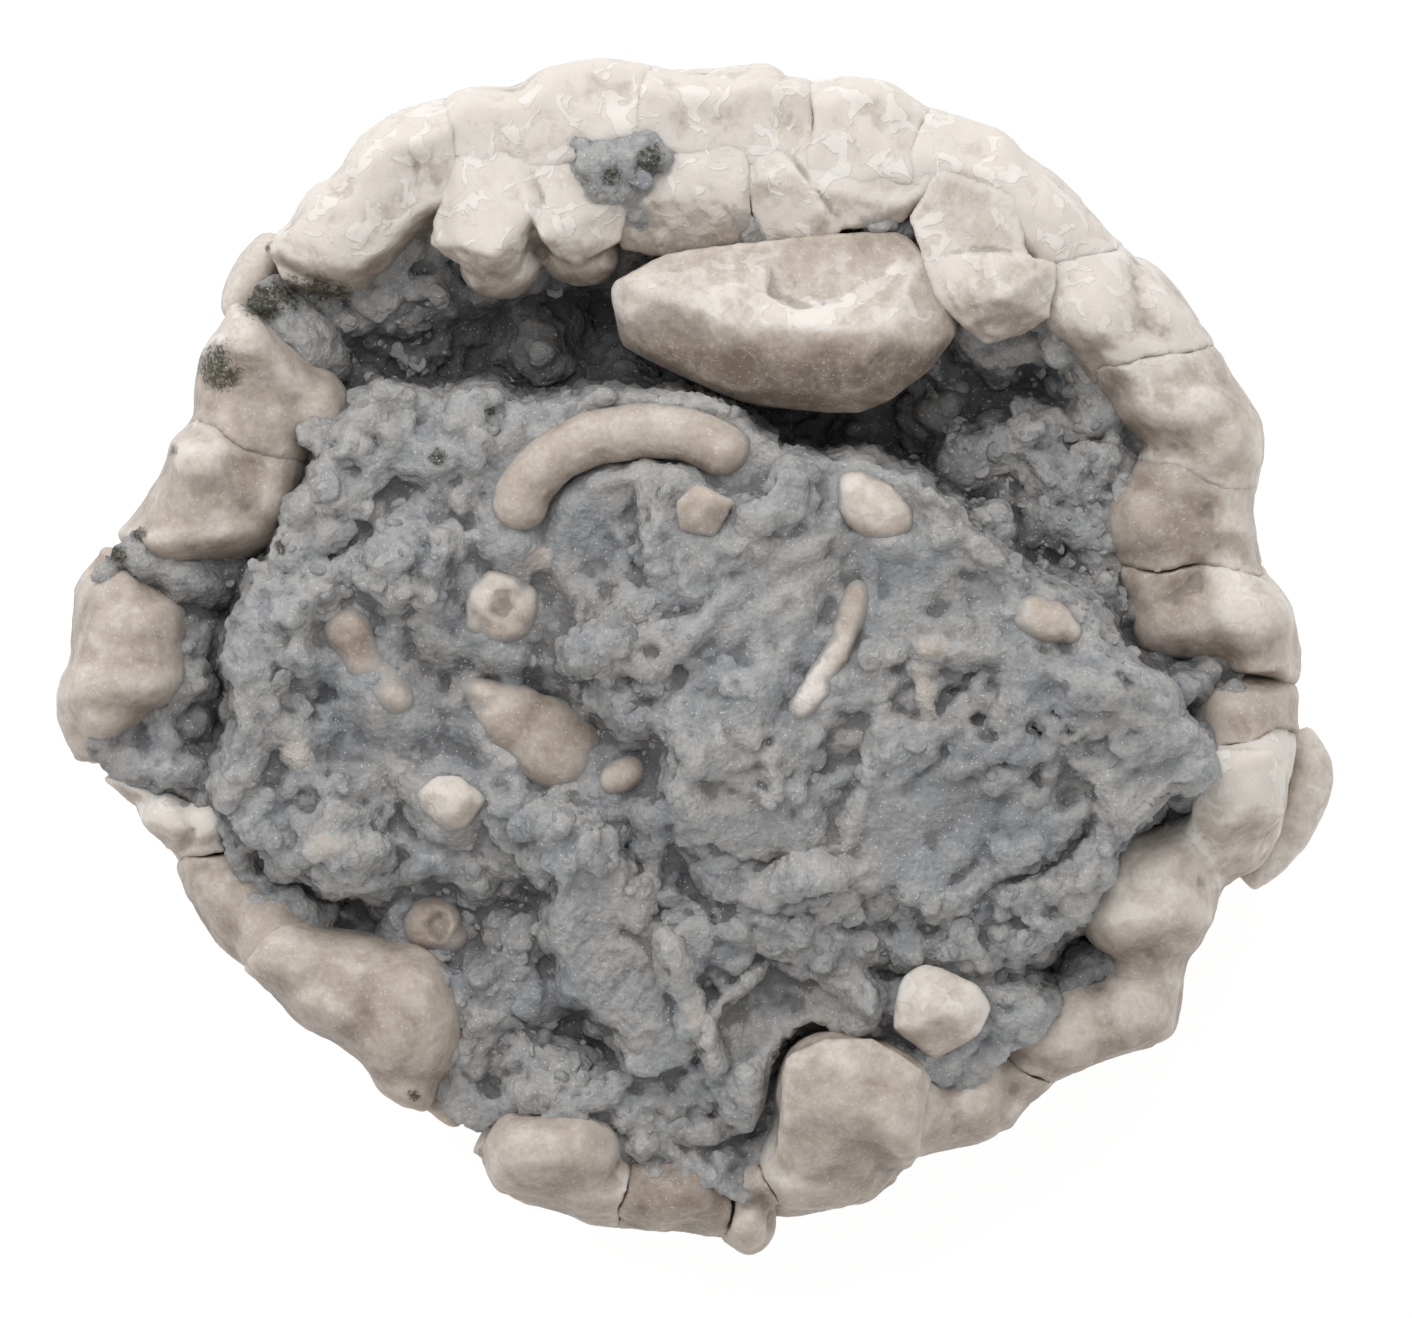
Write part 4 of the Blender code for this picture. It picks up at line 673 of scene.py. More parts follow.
RIDGES = [Ridge(*row) for row in (
    # sweeping bark-like crests of the right mound
    (-0.6, 0.3, 1.6, 2.6, 0.5, 0.45, 0.15), (1.6, 2.6, 4.6, 4.2, 0.45, 0.4, 0.1),
    (0.4, 0.2, 3, 2.3, 0.42, 0.35, 0.25), (3, 2.3, 5.4, 3.3, 0.35, 0.35, 0.2),
    (-1.4, 1.6, 1, 4.4, 0.4, 0.3, 0), (1.6, 4.6, 4.6, 5.9, 0.4, 0.35, 0.1),
    (2.1, 0.6, 1.9, -2.9, 0.55, 0.6, 0.3), (3.2, 0.6, 2.8, -1.6, 0.35, 0.4, 0.2),
    (2.5, -3.2, 2.8, -4.7, 0.26, 0.6, 0.4), (-0.5, -3.2, 2, -4, 0.55, 0.5, 0.35),
    (-0.7, -4.8, 1.6, -5.2, 0.5, 0.45, 0.25), (0.4, -5.4, 4, -6.4, 0.8, 0.5, 0.15),
    (5.7, -4.8, 5.3, -6.6, 0.28, 0.5, 0.25), (3.3, -4.4, 4.6, -6.7, 0.3, 0.4, 0.1),
    (1.7, -8.4, 3.6, -7.7, 0.6, 0.6, 0.3), (3.6, -7.7, 6, -7.3, 0.5, 0.55, 0.3),
    (8.3, -0.4, 8, -2, 0.32, 0.5, 0.6), (6.4, 0.2, 7.8, 0.6, 0.45, 0.4, 0.4),
    (8.4, 0.4, 11.8, 0, 0.4, 0.4, 0.35), (11.8, 0, 14.8, -1.4, 0.4, 0.4, 0.25),
    (13.2, -3.6, 14.5, -4.1, 0.3, 0.4, 0.4), (14.4, -4.2, 14, -6, 0.3, 0.35, 0.4),
    (10.6, -3.9, 12.8, -5.6, 0.35, 0.3, 0.2), (14, -1.2, 17, -3, 0.35, 0.35, 0.2),
    # leaning slab and the hollow beside it
    (-1.2, -9.7, 0.7, -14.3, 0.4, 1.4, 0.75), (0.3, -12.6, 2.8, -10.3, 0.22, 0.8, 0.6),
    (1.6, -16.4, 1.8, -14.6, 0.25, 0.4, 0.3), (1.8, -14.6, 3.4, -13.3, 0.22, 0.5, 0.5),
    (3.4, -13.3, 6.2, -12.9, 0.25, 0.5, 0.45), (3.6, -9.7, 7, -10, 0.3, 0.4, 0.2),
    (6.6, -8.9, 9.6, -8.2, 0.35, 0.4, 0.2),
    # left mound
    (-9.9, 1.2, -7.6, -0.3, 0.5, 0.5, 0.3), (-8.3, -0.6, -6.8, -0.7, 0.3, 0.4, 0.55),
    (-13.2, 4, -11.2, 7, 0.35, 0.4, 0.1), (-12, 5.6, -10, 8.3, 0.3, 0.4, 0),
    (-10.8, 4, -9, 6.2, 0.35, 0.4, 0.1), (-8.4, 8.2, -7, 9.3, 0.6, 0.5, 0.25),
    (-13.5, 6.6, -12.4, 8.6, 0.25, 0.35, 0.1), (-9.6, 6.4, -7.4, 7.8, 0.4, 0.35, 0),
    (-13, -6.4, -11, -6.6, 0.4, 0.35, 0.65), (-10.4, -6.2, -9.2, -6.9, 0.4, 0.35, 0.4),
    (-4.9, -5.2, -3.7, -5.5, 0.28, 0.4, 0.6), (-10, -8.6, -7.6, -8, 0.4, 0.4, 0.15),
    # sunken ground
    (9.8, 9.6, 13.2, 8.2, 0.4, 0.45, 0), (10.4, 5.8, 13.9, 4.2, 0.35, 0.4, -0.1),
    (-3, -15.4, -0.6, -17.6, 0.4, 0.4, -0.1), (-1.4, -15.5, 0.7, -14.8, 0.7, 1.3, 0),
    (-0.4, -16.6, 1.5, -16.4, 0.4, 0.6, 0.2), (-6.4, -13.4, -3.6, -15.6, 0.35, 0.4, 0.1),
    (-5.5, 10.1, -3, 10, 0.3, 0.5, 0.1),
)]
BEADS = [Bead(*row) for row in (
    (9.6, 6.8, 1.4, 1.2, 20, 0.9, 0.1, 0), (11.5, 7.9, 0.5, 0.45, 0, 0.5, 0.3, 0),
    (12, -10.3, 0.5, 0.45, 0, 0.5, 0.3, 0), (-15.2, 3, 0.45, 0.4, 0, 0.45, 0.3, 0.1),
    (-14.2, 3.6, 0.5, 0.4, 20, 0.45, 0.2, 0), (-13.2, 2.9, 0.55, 0.45, 0, 0.45, 0.1, 0.15),
    (-12.2, 3.2, 0.4, 0.4, 0, 0.4, 0.2, 0), (-11.2, 2.6, 0.45, 0.4, 0, 0.4, 0.1, 0),
    (-14, -3.3, 0.5, 0.75, 15, 0.55, 0.7, 0), (-12.9, -6.6, 0.9, 0.4, 10, 0.4, 0.7, 0),
    (-9.2, -5.9, 0.6, 0.4, 30, 0.35, 0.5, 0), (-4.9, 1, 0.6, 0.5, 0, 0.3, 0, 0),
    (-1.8, 1.4, 0.5, 0.5, 0, 0.5, 0, 0.25), (-2.6, 0, 0.55, 0.5, 0, 0.5, -0.1, 0.2),
    (-1.6, -0.9, 0.5, 0.45, 0, 0.45, 0, 0), (-2.2, 2.6, 0.5, 0.4, 30, 0.4, 0.1, 0),
    (-0.4, 3.4, 0.5, 0.5, 0, 0.45, 0, 0.2), (7.9, -0.2, 0.6, 0.45, 20, 0.4, 0.5, 0),
    (8, -1.3, 0.35, 0.8, 10, 0.45, 0.7, 0), (13.4, 0.6, 0.5, 0.4, 0, 0.4, 0.2, 0),
    (0.9, -7.1, 0.6, 0.5, 0, 0.4, 0.2, 0), (-0.7, -9.2, 0.5, 0.35, 0, 0.4, 0.1, 0),
    (3.6, -9.4, 0.5, 0.35, 10, 0.4, 0.1, 0), (-10.6, 7.8, 0.5, 0.4, 0, 0.4, 0, 0),
    (-13.9, 5.2, 0.45, 0.4, 0, 0.4, 0.1, 0), (-15.6, -0.4, 0.5, 0.45, 0, 0.4, 0, 0),
    (-5.5, 3.5, 0.45, 0.4, 30, 0.35, 0.85, 0), (8.2, 0.4, 0.6, 0.4, 20, 0.5, 0.7, 0),
    (-1.2, -0.5, 0.5, 0.2, 25, 0.5, 0.7, 0), (-1.6, 0.2, 0.9, 0.85, 0, 0.5, 0, 0.35),
    (-3.1, -1.9, 0.85, 0.7, 20, 0.7, 0.25, 0), (-2.9, 0.6, 0.6, 0.6, 0, 0.6, 0, 0),
    (-2.4, 2, 0.6, 0.5, 0, 0.5, 0.1, 0), (3.7, -2.7, 0.7, 0.6, 0, 0.4, 0.2, 0),
    (-2.1, 17.2, 0.6, 0.4, 20, 0.3, -0.5, 0.5), (-3.6, 17.2, 0.6, 0.5, 0, 0.35, 0.1, 0),
    (-2.9, 16.5, 0.6, 0.4, 0, 0.3, 0.1, 0), (1.4, -0.9, 0.6, 0.45, 10, 0.35, 0.4, 0.2),
    (-11.3, 1.3, 0.7, 0.6, 0, -0.2, -0.5, 0.4),
)]

# Paler or darker ground: middle, radius and tone
TINTS = [
    (-12, 4, 5, 0.22), (11, -3, 3.5, -0.6), (-8, -8, 3.5, -0.55), (-6, -12, 3, -0.35),
    (-3, 1.5, 3, -0.06), (2, -1, 4, 0.08), (-5.6, -4.4, 1.8, 0.3), (12, 7, 3.5, 0.05),
    (-13.5, -2, 3, -0.25), (-3, -10, 3, -0.05), (-3.2, -2.4, 2, -0.3),
]

# Net-like growth with holes through it, its way and the spacing of its holes
LACE_WAY = (0.88, -0.47)
LACE_SPACING = 0.62
LACE = [
    (8.3, -0.9), (9.6, -0.2), (11.6, -0.7), (13.2, -1.7), (14.1, -3), (13, -4), (11.4, -3.5),
    (9.6, -3.1), (8.5, -2.1),
]
# Ribbed flake
RIBBED = [
    (-4.2, -7.1), (-5, -9), (-4.6, -11), (-4, -12), (-2.8, -13), (-1.5, -14.5), (-0.4, -14.3),
    (-1, -12.3), (-1.5, -10.5), (-2.7, -9.5), (-2.5, -7.5),
]
# Ground broken into long slabs, and their way
SLAB_WAY = (0.89, 0.45)
SLABS = [
    (-3, 2.6), (-1.2, 5), (3, 7), (9, 5.2), (18.2, -3), (13, -7.2), (6, -9), (-1, -8.2), (-3, -3),
]
# Smoother stretches
CALM = [
    [(-12.6, -1.6), (-9, -0.6), (-7.5, -2.4), (-4, -3.6), (-6.6, -4.6), (-9.6, -4.2), (-13.4, -3.6)],
    [(0.6, -14.4), (0.9, -11.8), (2.2, -10), (4.6, -11.3), (5.8, -12.6), (3.4, -13.2), (1.9, -14.6)],
    [(4.6, -7.2), (4.9, -4.8), (6.5, -3.6), (9.5, -4.2), (10.8, -5.6), (9.6, -7.6), (6.8, -8.2)],
    [(-6.2, 3.6), (-5.4, 5.6), (-3.4, 6.8), (-1.8, 6.4), (-2.6, 3), (-4.6, 0.6), (-6, 0.4)],
    [(-0.6, -4.6), (1, -4.4), (4.2, -6), (3.6, -7), (0.6, -6.4)],
    [(-0.4, 0.4), (1, 3.2), (5, 5.4), (8, 4.4), (9.6, 2.4), (7, 1), (4.4, -0.6), (1.6, -0.8)],
    [(13.8, -3.6), (17.6, -3.4), (16.6, -4.8), (14.2, -5.8)],
]
# Ground crowded with small broken bits
CROWDED = [
    [(-16.2, 1), (-15.6, 4.2), (-12.4, 6.4), (-9.4, 4), (-10.4, 1.6), (-13, 1.4)],
    [(-4.4, -2.6), (-3.8, 1.6), (-2.4, 3.2), (-0.6, 1.8), (-0.6, -2.6), (-2.4, -3.6)],
    [(8.5, 10), (14.6, 9.8), (15.6, 4.6), (15, -0.2), (13.2, 1.2), (9, 5.2)],
    [(-11, -8), (-5.4, -7.2), (-5, -12.4), (-2, -15.6), (0.4, -18.2), (-5, -16.6), (-9.6, -12.2)],
    [(0.4, -8.6), (12.6, -7.6), (13, -10), (9, -10.6), (3.4, -10.8)],
    [(-14.4, 14), (-9, 12.6), (-9.6, 9.6), (-14, 9)],
    [(-5.6, -4.8), (-3.6, -4.6), (-1.2, -8.8), (-2.2, -9), (-4, -7)],
    [(-4.6, 18.6), (-0.6, 18.4), (-0.9, 16.6), (-2.6, 15.8), (-4.6, 16)],
]
RIDGE_RISE = 0.7
RIB_SPACING = 0.46
GRID_STEPS = 290  # squares along each side of the surface
MATRIX_VOXEL = 0.165
HIDDEN_BELOW = 10.0  # the matrix is buried below this height
MATRIX_KEPT = 0.72
MATRIX_TRIANGLES = 196000
SHARDS = 160
MATRIX_UNDER = 2.0  # how far the matrix stops short of the outline
MATRIX_WALL = [(9.0, 0.94), (6.0, 0.74), (3.2, 0.42)]


def matrix_reach(angle, share):
    """How far out points of the matrix lie, at an angle and a share of the way to its edge.

    The edge stops short of the outline, but not where the matrix bulges between plates.
    """
    reach = outline_reach(angle)
    bulge = np.zeros(len(reach))
    for tongue in (t for t in TONGUES if math.hypot(t.x, t.y) + max(t.rx, t.ry) > 20.5):
        bearing = math.atan2(tongue.y, tongue.x)
        away = np.abs((angle - bearing + math.pi) % (2 * math.pi) - math.pi) * reach
        bulge += (MATRIX_UNDER - 0.5) * step(-away, -1.6, -0.8)
    return (reach - MATRIX_UNDER) * share + bulge * step(share, 0.82, 1.0)


def ledged(values):
    """Turns a slope into flat treads with short steep risers."""
    tread = np.floor(values)
    return tread + step(values - tread, 0.0, 0.16)


def lumpy(points, size, seed, octaves=4):
    """Rounded lumps with sharp creases between them, in finer and finer layers."""
    total, weight = np.zeros(len(points)), 1.0
    for octave in range(octaves):
        total += weight * (np.abs(noise(points, size / 2 ** octave, seed + 13 * octave)) - 0.22)
        weight *= 0.6
    return total


def cobbles(spots, size, seed):
    """Rounded lumps packed together, from about -0.5 to 1, and a number for each lump."""
    wander = np.stack([layered(spots, size * 1.2, seed + axis, 2) for axis in range(3)], axis=1)
    near, following, number = grains(spots + 0.35 * size * wander, size, seed + 7)
    groove = step(following - near, 0.0, 0.2)
    return (1 - np.clip(near, 0, 1) ** 3) * groove + 0.9 * (number - 0.5), number


def plain_ground(x, y):
    """Height of the broken surface without its shards and grains, and how rough it is."""
    spots = flat(x, y)
    ragged_x = x + 0.45 * layered(spots, 1.7, 3) + 0.2 * layered(spots, 0.5, 4, 2)
    ragged_y = y + 0.45 * layered(spots, 1.7, 5) + 0.2 * layered(spots, 0.5, 6, 2)
    height = np.full(x.shape, FLOOR_HEIGHT)
    for shelf in SHELVES:
        share = step(within(ragged_x, ragged_y, shelf.outline), -shelf.edge / 2, shelf.edge / 2)
        level = shelf.height + shelf.rise_x * (x - shelf.x) + shelf.rise_y * (y - shelf.y)
        height += (level - height) * share
    rough = np.ones(x.shape)
    for outline in CALM:
        rough -= 0.75 * step(within(ragged_x, ragged_y, outline), -0.3, 0.6)
    rough = np.clip(rough, 0.15, 1)
    height += 0.35 * layered(spots, 3.4, 11, 2)
    slabs = step(within(x, y, SLABS), -0.8, 0.8)
    u, v = along(ragged_x, ragged_y, SLAB_WAY)
    strata = layered(flat(u / (1 + slabs), v), 2.4, 21, 3) * 3.0
    height += 0.5 * rough * ledged(strata)
    bark = 1 - 2.2 * np.abs(layered(flat(u / 3.2, v), 1.0, 26, 3))
    height += 0.2 * slabs * bark * step(layered(spots, 2.8, 27, 2), -0.1, 0.35)
    for tongue in TONGUES:
        u, v = turned(x - tongue.x, y - tongue.y, tongue.turn)
        dome = np.sqrt(np.clip(1 - (u / tongue.rx) ** 2 - (v / tongue.ry) ** 2, 0, 1))
        height = np.where(dome > 0, np.maximum(height, tongue.top - 2.2 + 2.2 * dome), height)
    return height, rough, slabs


def seat_ossicles(x, y, height):
    """Brings the ground to the flanks of the ossicles, the small blocks and the crescent."""
    uneven = 0.35 * layered(flat(x, y), 0.8, 35, 2)
    for depth, lobes in OSSICLES.values():
        for lobe in lobes:
            u, v = turned(x - lobe.x, y - lobe.y, lobe.turn)
            border = np.sqrt((u / lobe.rx) ** 2 + (v / lobe.ry) ** 2)
            share = 1 - step(border, 0.95, 1 + 1.1 / min(lobe.rx, lobe.ry))
            height += (lobe.top - (0.5 + 1.3 * uneven) * depth - height) * share
    for name in ("block_ossicle", "diamond_ossicle"):
        corners = np.array(BLOCKS[name][0])
        mx, my, top = corners[:, 0].mean(), corners[:, 1].mean(), corners[:, 2].max()
        share = 1 - step(np.hypot(x - mx, y - my), 0.9, 1.8)
        height += (top - 0.95 + 0.5 * uneven - height) * share
    away, level = np.full(x.shape, 9.0), np.zeros(x.shape)
    for px, py in smooth_path(CRESCENT_PATH, 40):
        here = np.hypot(x - px, y - py)
        level = np.where(here < away, crescent_height(px), level)
        away = np.minimum(away, here)
    inner = step(np.hypot(x + 2.2, y - 4.2), 3.9, 3.0)
    height += (level + 0.1 - 0.6 * inner + 0.6 * uneven - height) * (1 - step(away, 0.85, 1.7))


def lay_shards(x, y, height, tone, rough):
    """Lays broken flakes, rods and beads on the surface, each in its own place and tilt."""
    draw = np.random.default_rng(20)
    ragged = layered(flat(x, y), 0.5, 91, 2)
    for _ in range(SHARDS):
        bearing, reach = draw.uniform(0, 2 * math.pi), 17.5 * math.sqrt(draw.uniform())
        cx, cy = reach * math.cos(bearing), reach * math.sin(bearing)
        kind, size = draw.uniform(), draw.uniform()
        slab_side = cx > -2 and cy < 6
        turn = draw.normal(26, 22) if slab_side else draw.uniform(0, 180)
        lift, tilt_u, tilt_v = draw.uniform(0.02, 0.22), draw.normal(0, 0.12), draw.normal(0, 0.2)
        grey = draw.normal(0, 0.25)
        if kind < 0.45:
            long, wide = 0.4 + 1.1 * size ** 2, 0.3 + 0.5 * size * draw.uniform(0.4, 1)
        else:
            long = wide = 0.14 + 0.3 * size ** 2
            wide *= draw.uniform(0.7, 1)
        near = np.flatnonzero((np.abs(x - cx) < long + 0.1) & (np.abs(y - cy) < long + 0.1))
        if not len(near):
            continue
        dx, dy = x[near] - cx, y[near] - cy
        u, v = turned(dx, dy, turn)
        middle = height[near[np.argmin(dx * dx + dy * dy)]]
        lift *= rough[near].mean()
        if kind < 0.45:
            border = np.abs(u / long) ** 3 + np.abs(v / wide) ** 3 + 0.9 * ragged[near]
            top = middle + lift + tilt_u * u + tilt_v * v - 0.9 * np.clip(border - 0.4, 0, 9)
        else:
            border = (u / long) ** 2 + (v / wide) ** 2
            round_top = np.sqrt(np.clip(1 - border, 0, 1))
            top = middle + lift * 0.5 - 0.12 + tilt_u * u + wide * 0.8 * round_top
        higher = (border < 1) & (top > height[near])
        height[near[higher]] = top[higher]
        tone[near[higher]] = 0.5 * tone[near[higher]] + grey


def lay_ridge(x, y, height, tone, ridge):
    spots = flat(x, y)
    x = x + 0.12 * layered(spots, 0.9, 95, 2)
    y = y + 0.12 * layered(spots, 0.9, 96, 2)
    along_x, along_y = ridge.x2 - ridge.x1, ridge.y2 - ridge.y1
    share = ((x - ridge.x1) * along_x + (y - ridge.y1) * along_y) / (along_x ** 2 + along_y ** 2)
    held = np.clip(share, 0, 1)
    away = np.hypot(x - ridge.x1 - held * along_x, y - ridge.y1 - held * along_y)
    width = ridge.width * (1.15 + 0.5 * layered(spots, 1.1, 98, 2)) * (1 - (2 * held - 1) ** 6 / 2)
    near = np.flatnonzero(away < width)
    if len(near) < 5:
        return
    base = 0.5 * np.polyval(np.polyfit(held[near], height[near], 1), held[near]) + 0.5 * height[near]
    crest = (1 - (away[near] / width[near]) ** 2) ** 0.6
    top = base + RIDGE_RISE * ridge.rise * (1 + 0.6 * layered(spots[near], 0.9, 97, 2)) * crest
    higher = near[top > height[near]]
    height[near] = np.maximum(height[near], top)
    tone[higher] = 0.6 * tone[higher] + 0.7 * ridge.tone


def lay_bead(x, y, height, tone, bead):
    u, v = turned(x - bead.x, y - bead.y, bead.turn)
    border = (u / bead.rx) ** 2 + (v / bead.ry) ** 2
    near = np.flatnonzero(border < 1)
    if not len(near):
        return
    base = np.median(height[near])
    top = base + bead.rise * (np.sqrt(1 - border[near]) - 0.2)
    top -= bead.pit * step(-border[near], -0.3, -0.1) * 1.5
    height[near] = np.where(bead.pit > 0, top, np.maximum(height[near], top))
    tone[near] = bead.tone


def ribs(x, y):
    """Fine curved ribs, from -1 to 1, on the ribbed flake alone."""
    spots = flat(x, y)
    sweep = np.hypot(x + 11, y + 5) + 0.1 * layered(spots, 1.2, 70, 2)
    wave = np.sin(sweep * 2 * math.pi / RIB_SPACING) * step(layered(spots, 1.8, 74, 2), -0.35, 0.15)
    return wave * step(within(x, y, RIBBED), 0.0, 0.3)


def broken_surface(x, y):
    """Height, tone and roughness of the whole broken matrix surface."""
    height, rough, slabs = plain_ground(x, y)
    tone = np.zeros(x.shape)
    spots = flat(x, y)
    u, v = along(x, y, SLAB_WAY)
    drawn = flat(u / (1 + 0.9 * slabs), v, 0.3 * height)
    crowd = np.max([step(within(x, y, outline), -0.8, 0.4) for outline in CROWDED], axis=0)
    patchy = np.maximum(crowd, step(layered(spots, 3.0, 50, 2), -0.1, 0.5))
    height += 0.5 * (0.25 + 0.75 * rough) * lumpy(drawn, 2.0, 30, 4)
    for size, rise, tint in ((1.6, 0.28, 0.25), (0.7, 0.17, 0.25), (0.34, 0.08, 0.2)):
        lumps, number = cobbles(drawn, size, 40 + round(10 * size))
        height += rise * rough * (0.15 + 0.85 * patchy) * lumps
        tone += tint * (number - 0.5)
    for tint_x, tint_y, radius, tint in TINTS:
        tone += tint * step(-np.hypot(x - tint_x, y - tint_y), -1.2 * radius, -0.7 * radius)
    lay_shards(x, y, height, tone, rough)
    lifted = step(within(x, y, RIBBED), -0.05, 0.15)
    slab = 16.1 + 0.12 * (x + 2.6) + 0.3 * (y + 10.5)
    slab += 0.15 * layered(spots, 2.2, 71, 2) + 0.08 * ledged(3 * layered(spots, 1.6, 72, 2))
    height += (slab - height) * lifted
    tone += (0.02 - tone) * lifted
    rough *= 1 - 0.8 * lifted
    for ridge in RIDGES:
        lay_ridge(x, y, height, tone, ridge)
    for bead in BEADS:
        lay_bead(x, y, height, tone, bead)

    inside = within(x, y, LACE)
    u, v = along(x, y, LACE_WAY)
    near, following, number = grains(flat(u / 1.5, v), LACE_SPACING, 60)
    holes = step(following - near, 0.16, 0.4) * step(number, 0.1, 0.3)
    height -= 0.9 * holes * step(inside, -0.1, 0.5)
    tone += 0.2 * (1 - holes) * step(inside, 0, 0.4)

    seat_ossicles(x, y, height)
    return height, tone, rough


def spread(values, reach):
    """Box average of a square table of values over reach places each way, taken twice."""
    window = 2 * reach + 1
    for _ in range(4):
        total = np.cumsum(np.pad(values, ((reach + 1, reach), (0, 0)), mode="edge"), axis=0)
        values = ((total[window:] - total[:-window]) / window).T
    return values


def make_matrix(material):
    """The grey fill: its broken face in full relief, closed by a plain wall and underside."""
    piece = start_piece("matrix_fill")
    bpy.ops.mesh.primitive_grid_add(x_subdivisions=GRID_STEPS, y_subdivisions=GRID_STEPS, size=2)
    leave_edit()
    mesh = piece.data
    count = GRID_STEPS + 1
    square = get_rows(mesh, "co")
    order = np.lexsort((np.round(square[:, 0], 5), np.round(square[:, 1], 5)))
    round_x = square[:, 0] * np.sqrt(1 - square[:, 1] ** 2 / 2)
    round_y = square[:, 1] * np.sqrt(1 - square[:, 0] ** 2 / 2)
    angle = np.arctan2(round_y, round_x)
    reach = matrix_reach(angle, np.hypot(round_x, round_y))
    x, y = np.cos(angle) * reach, np.sin(angle) * reach
    height, tone, rough = broken_surface(x, y)
    table = height[order].reshape(count, count)
    fall = np.hypot(*np.gradient(table)) * GRID_STEPS / (2 * reach.max())
    table += (spread(table, 1) - table) * step(fall, 2.0, 5.0)  # rounds off thin spikes
    height[order] = table.ravel()
    face = flat(x, y, height)
    set_points(mesh, face)
    values = np.zeros((len(height), 4))
    values[:, 0], values[:, 3] = tone, rough
    # relief: how far the ground stands above its near surroundings, which the finish turns into painted
    # shade in creases and painted light on raised places
    values[order, 1] = ((table - spread(table, 3)) / 0.4 + (table - spread(table, 12)) / 1.6).ravel()
    # hollow: how far the ground sinks below its wide surroundings, which the finish darkens as painted
    # shade
    values[order, 2] = (table - spread(table, 32)).ravel()

    bpy.ops.object.mode_set(mode="EDIT")
    bpy.ops.mesh.select_mode(type="EDGE")
    bpy.ops.mesh.select_all(action="DESELECT")
    bpy.ops.mesh.select_non_manifold()
    for low, share in MATRIX_WALL:
        bpy.ops.mesh.extrude_region_move()
        bm = bmesh.from_edit_mesh(mesh)
        for vert in (v for v in bm.verts if v.select):
            around = math.atan2(vert.co.y, vert.co.x)
            far = float(outline_reach(np.array([around]))[0]) - MATRIX_UNDER - 0.4
            vert.co = Vector((far * share * math.cos(around), far * share * math.sin(around), low)) * MM
        bmesh.update_edit_mesh(mesh)
    bpy.ops.mesh.edge_face_add()
    bpy.ops.mesh.select_all(action="SELECT")
    bpy.ops.mesh.normals_make_consistent(inside=False)
    bpy.ops.mesh.select_mode(type="VERT")
    leave_edit()
    modify(piece, "REMESH", mode="VOXEL", voxel_size=MATRIX_VOXEL * MM)
    points = get_points(piece.data)
    hidden = piece.vertex_groups.new(name="hidden")
    hidden.add(np.flatnonzero(points[:, 2] < HIDDEN_BELOW).tolist(), 1, "REPLACE")
    modify(piece, "DECIMATE", ratio=MATRIX_KEPT, vertex_group="hidden")
    piece.vertex_groups.clear()
    count = sum(len(polygon.vertices) - 2 for polygon in piece.data.polygons)
    modify(piece, "DECIMATE", ratio=min(1, MATRIX_TRIANGLES / count))
    mesh = piece.data
    points, normals = get_points(mesh), get_normals(mesh)
    tree = KDTree(len(face))
    for index, place in enumerate(face):
        tree.insert(place, index)
    tree.balance()
    tone, relief, hollow, rough = values[[tree.find(place)[1] for place in points]].T

    # Roughs the steep faces sideways into ledges, where height alone leaves them smooth
    steep = step(1 - normals[:, 2], 0.25, 0.7)
    ledges = lumpy(points * (1, 1, 1.8), 1.8, 90, 4) + 0.4 * layered(points, 0.5, 93, 2)
    crumbs, number = cobbles(points, 0.5, 120)
    fine_ribs = ribs(points[:, 0], points[:, 1]) * (1 - steep)
    points += normals * (0.3 * steep * ledges + 0.07 * rough * crumbs + 0.07 * fine_ribs)[:, None]
    set_points(mesh, points)
    keep_relief(mesh)
    relief = relief * (1 - steep) + (0.25 + 0.5 * steep) * get_values(mesh, "relief")
    keep_values(mesh, "relief", np.clip(relief, -1.5, 1.5))
    keep_values(mesh, "tone", tone + 0.25 * fine_ribs + 0.35 * rough * (number - 0.5))
    keep_values(mesh, "hollow", np.clip(hollow, -3, 3))
    keep_soil(mesh, points)
    settle(piece, material, "grey_matrix", "matrix")


# ---- small bits on the matrix

HASH_TRIES = 5200
HASH_SHAPES = 9
FLAKE_SHAPES = 3  # how many of the shapes are flat


def probe_ground(ground, x, y):
    """The place on the matrix under a point, in millimetres, and the way it faces."""
    place, normal, _, _ = ground.ray_cast(Vector((x, y, 40)) * MM, Vector((0, 0, -1)))
    return (None, None) if place is None else (place / MM, normal)


def matrix_surface():
    matrix = bpy.data.objects["matrix_fill"]
    return BVHTree.FromObject(matrix, bpy.context.evaluated_depsgraph_get())


def bit_shapes():
    """A few small shapes, rounded or flat, as points and faces."""
    shapes = []
    for number in range(HASH_SHAPES):
        piece = start_piece("bit")
        if number < FLAKE_SHAPES:
            bpy.ops.mesh.primitive_cylinder_add(vertices=7, radius=1, depth=0.6)
            bpy.ops.mesh.bevel(offset=0.12, segments=1)
        else:
            bpy.ops.mesh.primitive_uv_sphere_add(segments=8, ring_count=6, radius=0.8)
        leave_edit()
        points = get_points(piece.data) * MM
        points *= (1 + 0.35 * noise(points, 0.9, 200 + number))[:, None]
        shapes.append((points, [tuple(face.vertices) for face in piece.data.polygons]))
        bpy.data.objects.remove(piece)
    return shapes


